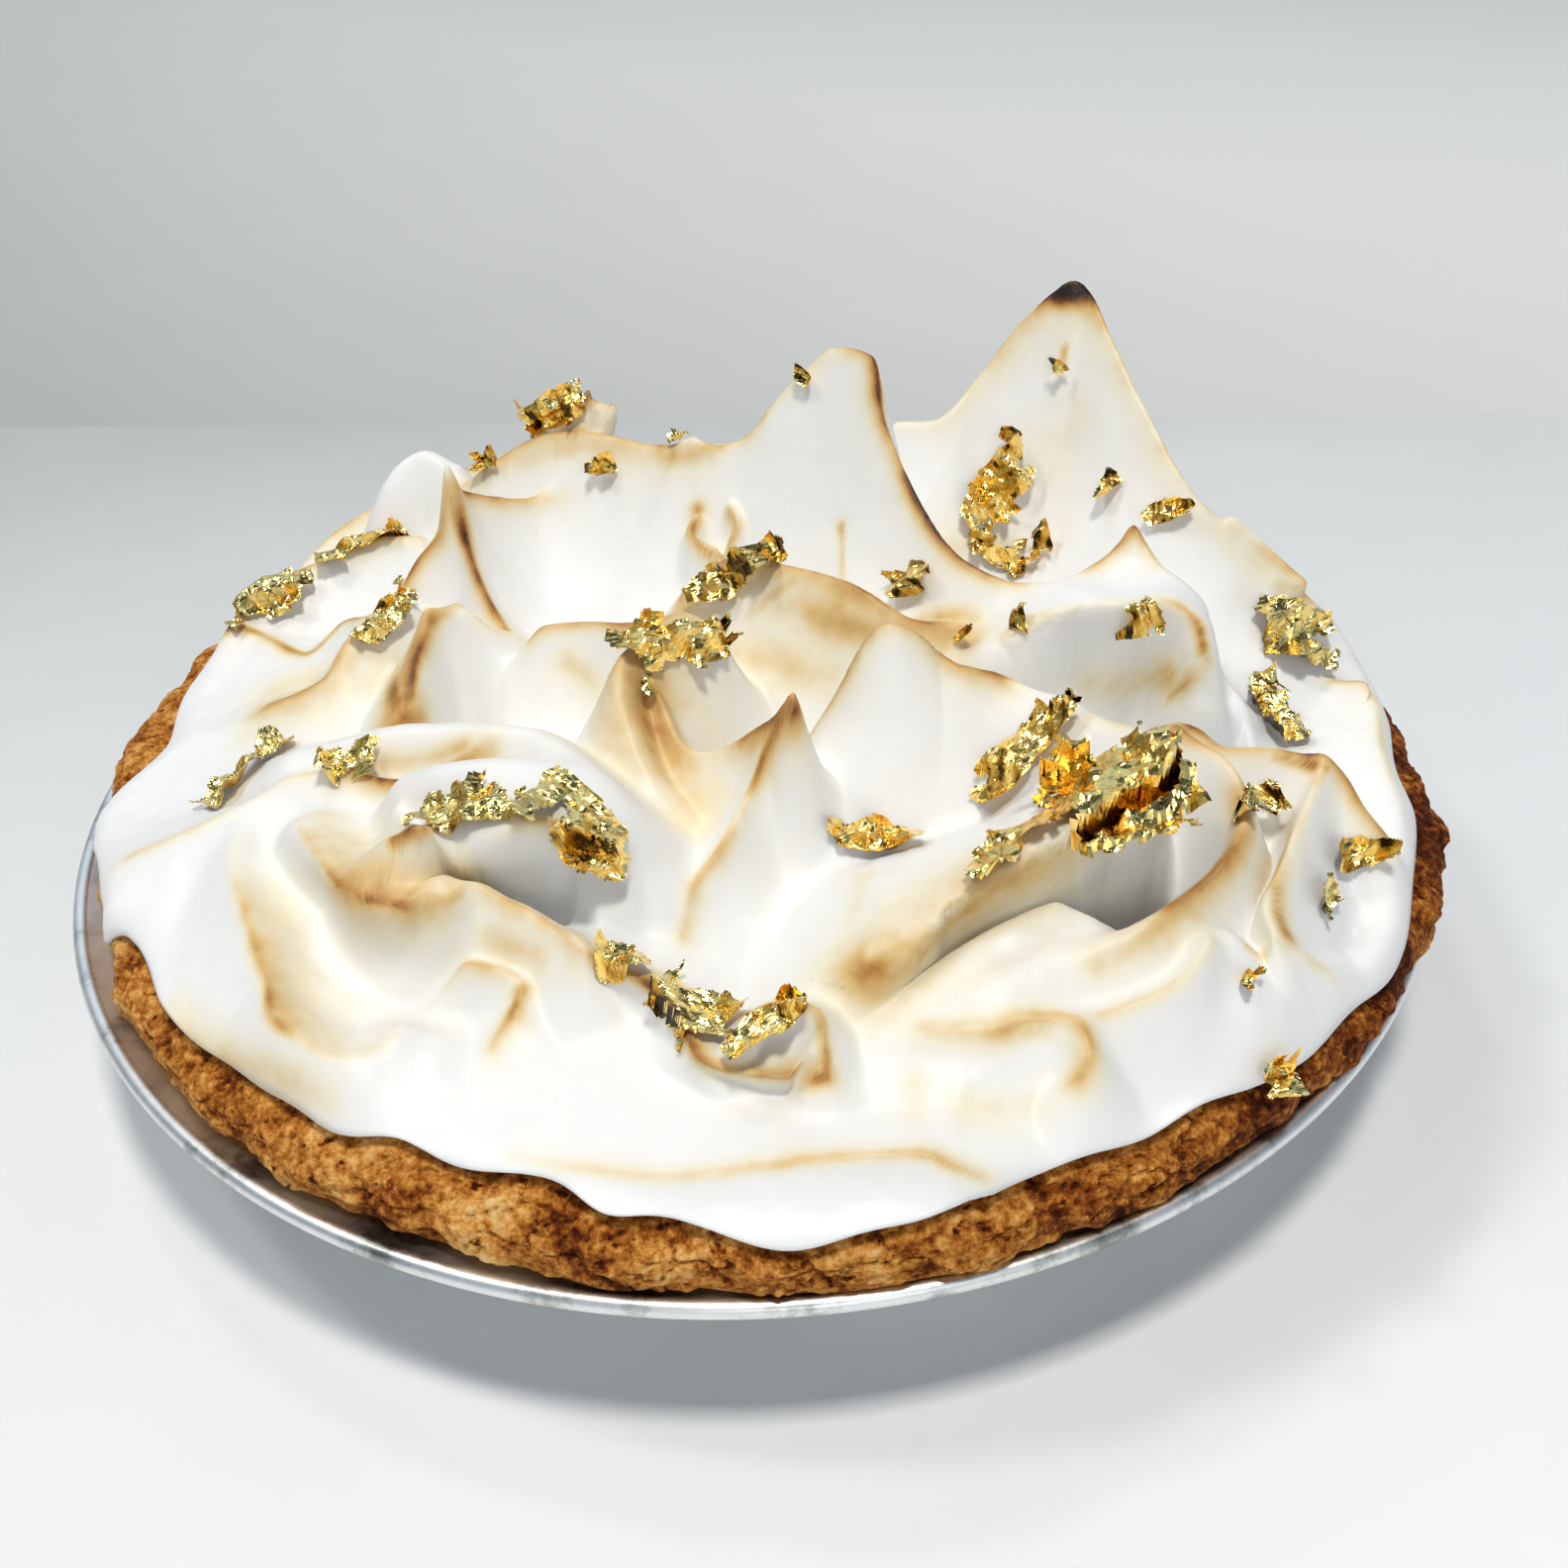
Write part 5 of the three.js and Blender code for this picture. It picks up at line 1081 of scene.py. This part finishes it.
def meringue_toast(points):
    """The brown at points of the meringue: the strongest that a crest or patch has there."""
    toast = np.zeros(len(points))
    x, y = points[:, 0], points[:, 1]
    marks = [(crest["path"], crest["toast"], crest["brown"], TOAST_LINE_TONE)
             for crest in CRESTS.values() if "toast" in crest]
    marks += [(patch["path"], patch["toast"], (patch["spread"], patch["spread"]), 0)
              for patch in PATCHES.values()]
    for path, tones, brown, line in marks:
        near = near_path(path, TOAST_REACH * max(brown), x, y)
        mark = toast_mark(path, tones, brown, line, points[near])
        toast[near] = np.maximum(toast[near], mark)
    return toast


def plan_grid():
    """A square grid pressed into a disc, so that no point of the plan is crowded."""
    steps = np.linspace(-1, 1, GRID + 1)
    u, v = np.meshgrid(steps, steps)
    out = np.maximum(np.abs(u), np.abs(v))
    wide = np.abs(u) >= np.abs(v)
    safe_u = np.where(wide & (out > 0), u, 1)
    safe_v = np.where(wide, 1, v)
    sideways = np.pi / 4 * v / safe_u + np.where(u < 0, np.pi, 0)
    upright = np.where(v < 0, -np.pi / 2, np.pi / 2) - np.pi / 4 * u / safe_v
    angle = np.where(wide, sideways, upright)
    angle = np.arctan2(np.sin(angle), np.cos(angle))
    r = out * meringue_radius(angle)
    return r * np.cos(angle), r * np.sin(angle)


def rim_order():
    """The grid's outermost points, counted round from the angle -180 degrees."""
    index = np.arange((GRID + 1) ** 2).reshape(GRID + 1, GRID + 1)
    half = GRID // 2
    return np.concatenate([
        index[half:0:-1, 0], index[0, :GRID], index[:GRID, GRID], index[GRID, GRID:0:-1],
        index[GRID:half:-1, 0],
    ])


def meringue_top():
    """The points that show, and the brown on them."""
    x, y = plan_grid()
    top = meringue_surface(x.ravel(), y.ravel())
    top[:, 2] = softened(top[:, 2].reshape(x.shape)).ravel()
    toast = meringue_toast(top)
    from_edge = (meringue_radius(np.arctan2(top[:, 1], top[:, 0]))
                 - np.hypot(top[:, 0], top[:, 1]))
    top[:, 2] += with_noise(top, *RIPPLES) * clamp01(from_edge / RIPPLE_START)
    return top, clamp01(toast * with_noise(top, *TOAST_WANDER, base=1))


def build_meringue():
    """Makes the meringue, and returns its points and faces for the gold to lie on."""
    top, toast = meringue_top()
    turn = np.linspace(-np.pi, np.pi, 4 * GRID, endpoint=False)
    edge = meringue_radius(turn)
    rings = []
    for inset, rise in MERINGUE_UNDER:
        rings.append(polar(edge - inset, turn, crust_top(edge - inset, turn) + rise))
    lower = np.vstack(rings)
    loops = [rim_order()]
    loops += [len(top) + k * len(turn) + np.arange(len(turn)) for k in range(len(rings))]
    faces = [grid_faces(GRID + 1, GRID + 1)]
    for outer, inner in zip(loops, loops[1:]):
        faces.append(np.stack([outer, inner, np.roll(inner, -1), np.roll(outer, -1)], -1))
    faces = np.vstack(faces)
    points = np.vstack([top, lower])
    made = make_object("meringue_torched", points, faces, meringue_material())
    add_values(made, "toast", np.concatenate([toast, np.zeros(len(lower))]))
    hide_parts("meringue")
    return points, faces


# Gold

def crumple(u, v, rng, strength, count, size):
    """Flat facets with sharp folds between them, as crumpled foil has."""
    height = np.zeros_like(u)
    for _ in range(count):
        heading = rng.uniform(0, 2 * np.pi)
        length = rng.uniform(*FOLD_LENGTHS) * size
        across = (u * np.cos(heading) + v * np.sin(heading)) / length + rng.uniform()
        height += FOLD_HEIGHT * length * (2 * np.abs(across - np.round(across)) - 0.5)
    return strength * height


def ground_height(tree, start, facing):
    """How far the meringue lies above each point of a plane, or below it."""
    height = np.full(len(start), np.nan)
    for k, point in enumerate(start):
        above = Vector(point + facing * LEAF_SEARCH)
        spot, _, _, distance = tree.ray_cast(above, Vector(-facing), 2 * LEAF_SEARCH)
        if spot is not None:
            height[k] = LEAF_SEARCH - distance
    usual = np.nanmedian(height)
    return np.where(np.isnan(height), usual, np.maximum(height, usual - LEAF_DROP))


def leaf_axes(facing, along):
    """Directions out of a leaf, along it and across it, and its length."""
    facing = np.array(facing, float)
    facing /= np.linalg.norm(facing)
    along = np.array(along, float)
    length = np.linalg.norm(along)
    along -= facing * (along @ facing)
    along /= np.linalg.norm(along)
    return facing, along, np.cross(facing, along), length


def leaf_sheet(leaf, rng, tree, cells):
    """Points and quads of one crumpled leaf, laid on the meringue, and the way it faces."""
    at, facing, along, width = leaf
    facing, along, across, length = leaf_axes(facing, along)
    columns, rows = cells
    u, v = np.meshgrid(np.linspace(-0.5, 0.5, columns + 1), np.linspace(-0.5, 0.5, rows + 1))
    flat = np.stack([u * length, v * width, np.full_like(u, 0)], -1).reshape(-1, 3)
    waver, size = LEAF_WAVER
    aside = [noise(flat, size, int(rng.integers(NOISE_SEEDS))) for _ in range(2)]
    flat[:, :2] += waver * np.stack(aside, -1)
    flat[:, :2] *= LEAF_SPREAD
    u, v = flat[:, 0], flat[:, 1]
    start = np.array(at, float) + np.outer(u, along) + np.outer(v, across)
    height = ground_height(tree, start, facing)
    edge = np.abs(u * 2 / length) ** LEAF_SQUARENESS + np.abs(v * 2 / width) ** LEAF_SQUARENESS
    edge = edge ** (1 / LEAF_SQUARENESS) / LEAF_SPREAD
    seed = int(rng.integers(NOISE_SEEDS))
    mean, strength, size = LEAF_CURL_NOISE
    curl = (LEAF_CURL * clamp01(edge - LEAF_CURL_START)
            * clamp01(mean + strength * noise(flat, size, seed + 2)))
    folds = sum(crumple(u, v, rng, *fold) for fold in LEAF_FOLDS)
    rise = height + LEAF_CLEAR + LEAF_FOLD_SHARE * (folds - folds.min()) + curl
    points = start + np.outer(rise, facing)
    points += np.outer(crumple(u, v, rng, *LEAF_SIDE_FOLDS), along)

    torn = edge
    for k, (strength, size) in enumerate(TORN_NOISES):
        torn = torn + strength * noise(flat, size, seed + k)
    faces = grid_faces(rows + 1, columns + 1)
    kept = torn[faces].mean(axis=1) < TORN_EDGE
    return points, joined_faces(faces[kept], len(points)), facing


def joined_faces(faces, count):
    """The faces that hang together with the middle one, without the torn-off bits."""
    reached = np.zeros(count, bool)
    reached[faces[len(faces) // 2]] = True
    while True:
        touched = faces[reached[faces].any(axis=1)]
        if reached[touched].all():
            return touched
        reached[touched] = True


def thick_sheet(points, faces, facing):
    """Closes a sheet into a thin solid."""
    count = len(points)
    low = points - facing * LEAF_SHEET
    edges = np.concatenate([faces[:, [k, (k + 1) % 4]] for k in range(4)])
    pairs = dict.fromkeys(map(tuple, edges.tolist()))
    rim = np.array([(a, b) for a, b in pairs if (b, a) not in pairs])
    walls = np.stack([rim[:, 1], rim[:, 0], rim[:, 0] + count, rim[:, 1] + count], -1)
    all_faces = np.vstack([faces, faces[:, ::-1] + count, walls])
    used = np.unique(all_faces)
    order = np.full(2 * count, -1)
    order[used] = np.arange(len(used))
    return np.vstack([points, low])[used], order[all_faces]


def make_foil(name, points, faces, material):
    """A piece of gold that notes for each facet how far it leans, so that its material paints a
    dark reflection on one side of every fold."""
    made = make_object(name, points, faces, material, smooth=False)
    normals = np.empty(3 * len(made.data.polygons))
    made.data.polygons.foreach_get("normal", normals)
    add_values(made, "fold", 0.5 + 0.5 * (normals.reshape(-1, 3) @ DARK_REFLECTION_HEADING), "FACE")
    return made


def build_leaves(tree, material):
    for index, leaf in enumerate(LEAVES):
        rng = np.random.default_rng(LEAF_SEED + index)
        points, faces = thick_sheet(*leaf_sheet(leaf, rng, tree, LEAF_CELLS))
        name = f"gold_leaf_{index + 1:02d}"
        made = make_foil(name + "_foil", points, faces, material)
        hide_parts(name)


def build_flecks(tree, material):
    rng = np.random.default_rng(FLECK_SEED)
    all_points = []
    all_faces = []
    count = 0
    for x, y, size in FLECKS:
        above = Vector((x, y, ABOVE_ALL))
        spot, normal, _, _ = tree.ray_cast(above, Vector((0, 0, -1)))
        heading = rng.uniform(0, 2 * np.pi)
        along = (size * np.cos(heading), size * np.sin(heading), 0)
        leaf = (spot, normal, along, FLECK_WIDTH * size)
        points, faces = thick_sheet(*leaf_sheet(leaf, rng, tree, FLECK_CELLS))
        all_points.append(points)
        all_faces.append(faces + count)
        count += len(points)
    made = make_foil("gold_flecks", np.vstack(all_points), np.vstack(all_faces), material)
    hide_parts("meringue")


# Stage, camera and light

def stage_plane(name, corners, slope, shades, clouding, roughness):
    """A plane whose colour changes slowly along a direction as painted shade, with faint cloudy
    patches.
    """
    nodes = Material(name)
    along = nodes.operate("ShaderNodeVectorMath", "DOT_PRODUCT", (nodes.place(), slope))
    clouds = nodes.minus(nodes.noise(STAGE_CLOUDS, detail=6, roughness=0.6), 0.5)
    share = nodes.plus(nodes.times(clouds, clouding), nodes.plus(along, SHADE_MIDDLE))
    nodes.shade(Base_Color=nodes.ramp(share, shades), Roughness=roughness)
    mesh = bpy.data.meshes.new(name)
    mesh.from_pydata(corners, [], [(0, 1, 2, 3)])
    mesh.materials.append(nodes.made)
    made = bpy.data.objects.new(name, mesh)
    bpy.context.collection.objects.link(made)


def build_stage():
    """The table, a wall behind its back edge, and pale screens all round them."""
    left, right = (Vector((x, y, 0)) for x, y in TABLE_EDGE)
    along = (right - left).normalized()
    back = Vector((-along.y, along.x, 0))
    left, right = left - STAGE_REACH * along, right + STAGE_REACH * along
    reach = STAGE_REACH * back
    fall = Vector((0, 0, -WALL_FALL))
    stage_plane("floor", [left - reach, right - reach, right, left], FLOOR_SLOPE,
                FLOOR_SHADES, FLOOR_CLOUDING, FLOOR_ROUGHNESS)
    stage_plane("backdrop", [left, right, right + reach + fall, left + reach + fall],
                WALL_SLOPE, WALL_SHADES, WALL_CLOUDING, WALL_ROUGHNESS)
    top = Vector((0, 0, SCREEN_TOP))
    corners = [left - reach, right - reach, right + reach, left + reach]
    for number, (start, end) in enumerate(zip(corners, corners[1:] + corners[:1]), 1):
        stage_plane(f"screen_{number}", [start + fall, end + fall, end + top, start + top],
                    SCREEN_SLOPE, SCREEN_SHADES, WALL_CLOUDING, WALL_ROUGHNESS)


def build_camera():
    pitch = math.radians(CAMERA_PITCH)
    roll = math.radians(CAMERA_ROLL)
    forward = Vector((0, math.cos(pitch), -math.sin(pitch)))
    level = Vector((1, 0, 0))
    upright = Vector((0, math.sin(pitch), math.cos(pitch)))
    right = math.cos(roll) * level + math.sin(roll) * upright
    up = math.cos(roll) * upright - math.sin(roll) * level
    place = (Vector(CAMERA_AIM) - CAMERA_DISTANCE * forward) * MM
    camera = bpy.data.cameras.new("camera")
    camera.sensor_width = SENSOR
    camera.lens = SENSOR * CAMERA_FOCAL_PIXELS / PHOTO_PIXELS
    camera.clip_start = CAMERA_CLIP
    made = bpy.data.objects.new("camera", camera)
    bpy.context.collection.objects.link(made)
    made.matrix_world = Matrix((
        (right.x, up.x, -forward.x, place.x),
        (right.y, up.y, -forward.y, place.y),
        (right.z, up.z, -forward.z, place.z),
        (0, 0, 0, 1),
    ))
    bpy.context.scene.camera = made


def build_lamps():
    for name, place, size, power in LAMPS:
        light = bpy.data.lights.new(name, "AREA")
        light.shape = "RECTANGLE"
        light.size, light.size_y = size
        light.energy = power
        light.color = LAMP_COLOR
        made = bpy.data.objects.new(name, light)
        bpy.context.collection.objects.link(made)
        made.location = place
        aim = Vector(LAMP_AIM) - Vector(place)
        made.rotation_euler = aim.to_track_quat("-Z", "Y").to_euler()


def build_world():
    world = bpy.data.worlds.new("studio")
    bpy.context.scene.world = world
    nodes = Nodes(world)
    direction = nodes.add("ShaderNodeTexCoord").outputs["Generated"]
    rooms = nodes.add("ShaderNodeTexNoise", Vector=direction, Scale=WORLD_SCALE, Detail=2.0)
    parts = nodes.add("ShaderNodeSeparateXYZ", Vector=direction)
    behind = nodes.math("MULTIPLY_ADD", parts.outputs["Y"], WORLD_BIAS, rooms.outputs["Fac"])
    nodes.fill(nodes.tree.nodes["Background"], Color=nodes.ramp(behind, WORLD_TONES),
               Strength=1.0)


build_crust()
build_tin()
points, faces = build_meringue()
tree = BVHTree.FromPolygons(points.tolist(), faces.tolist())
gold = gold_material()
build_leaves(tree, gold)
build_flecks(tree, gold)
build_stage()
build_camera()
build_lamps()
build_world()
bpy.context.scene.view_settings.view_transform = "Standard"
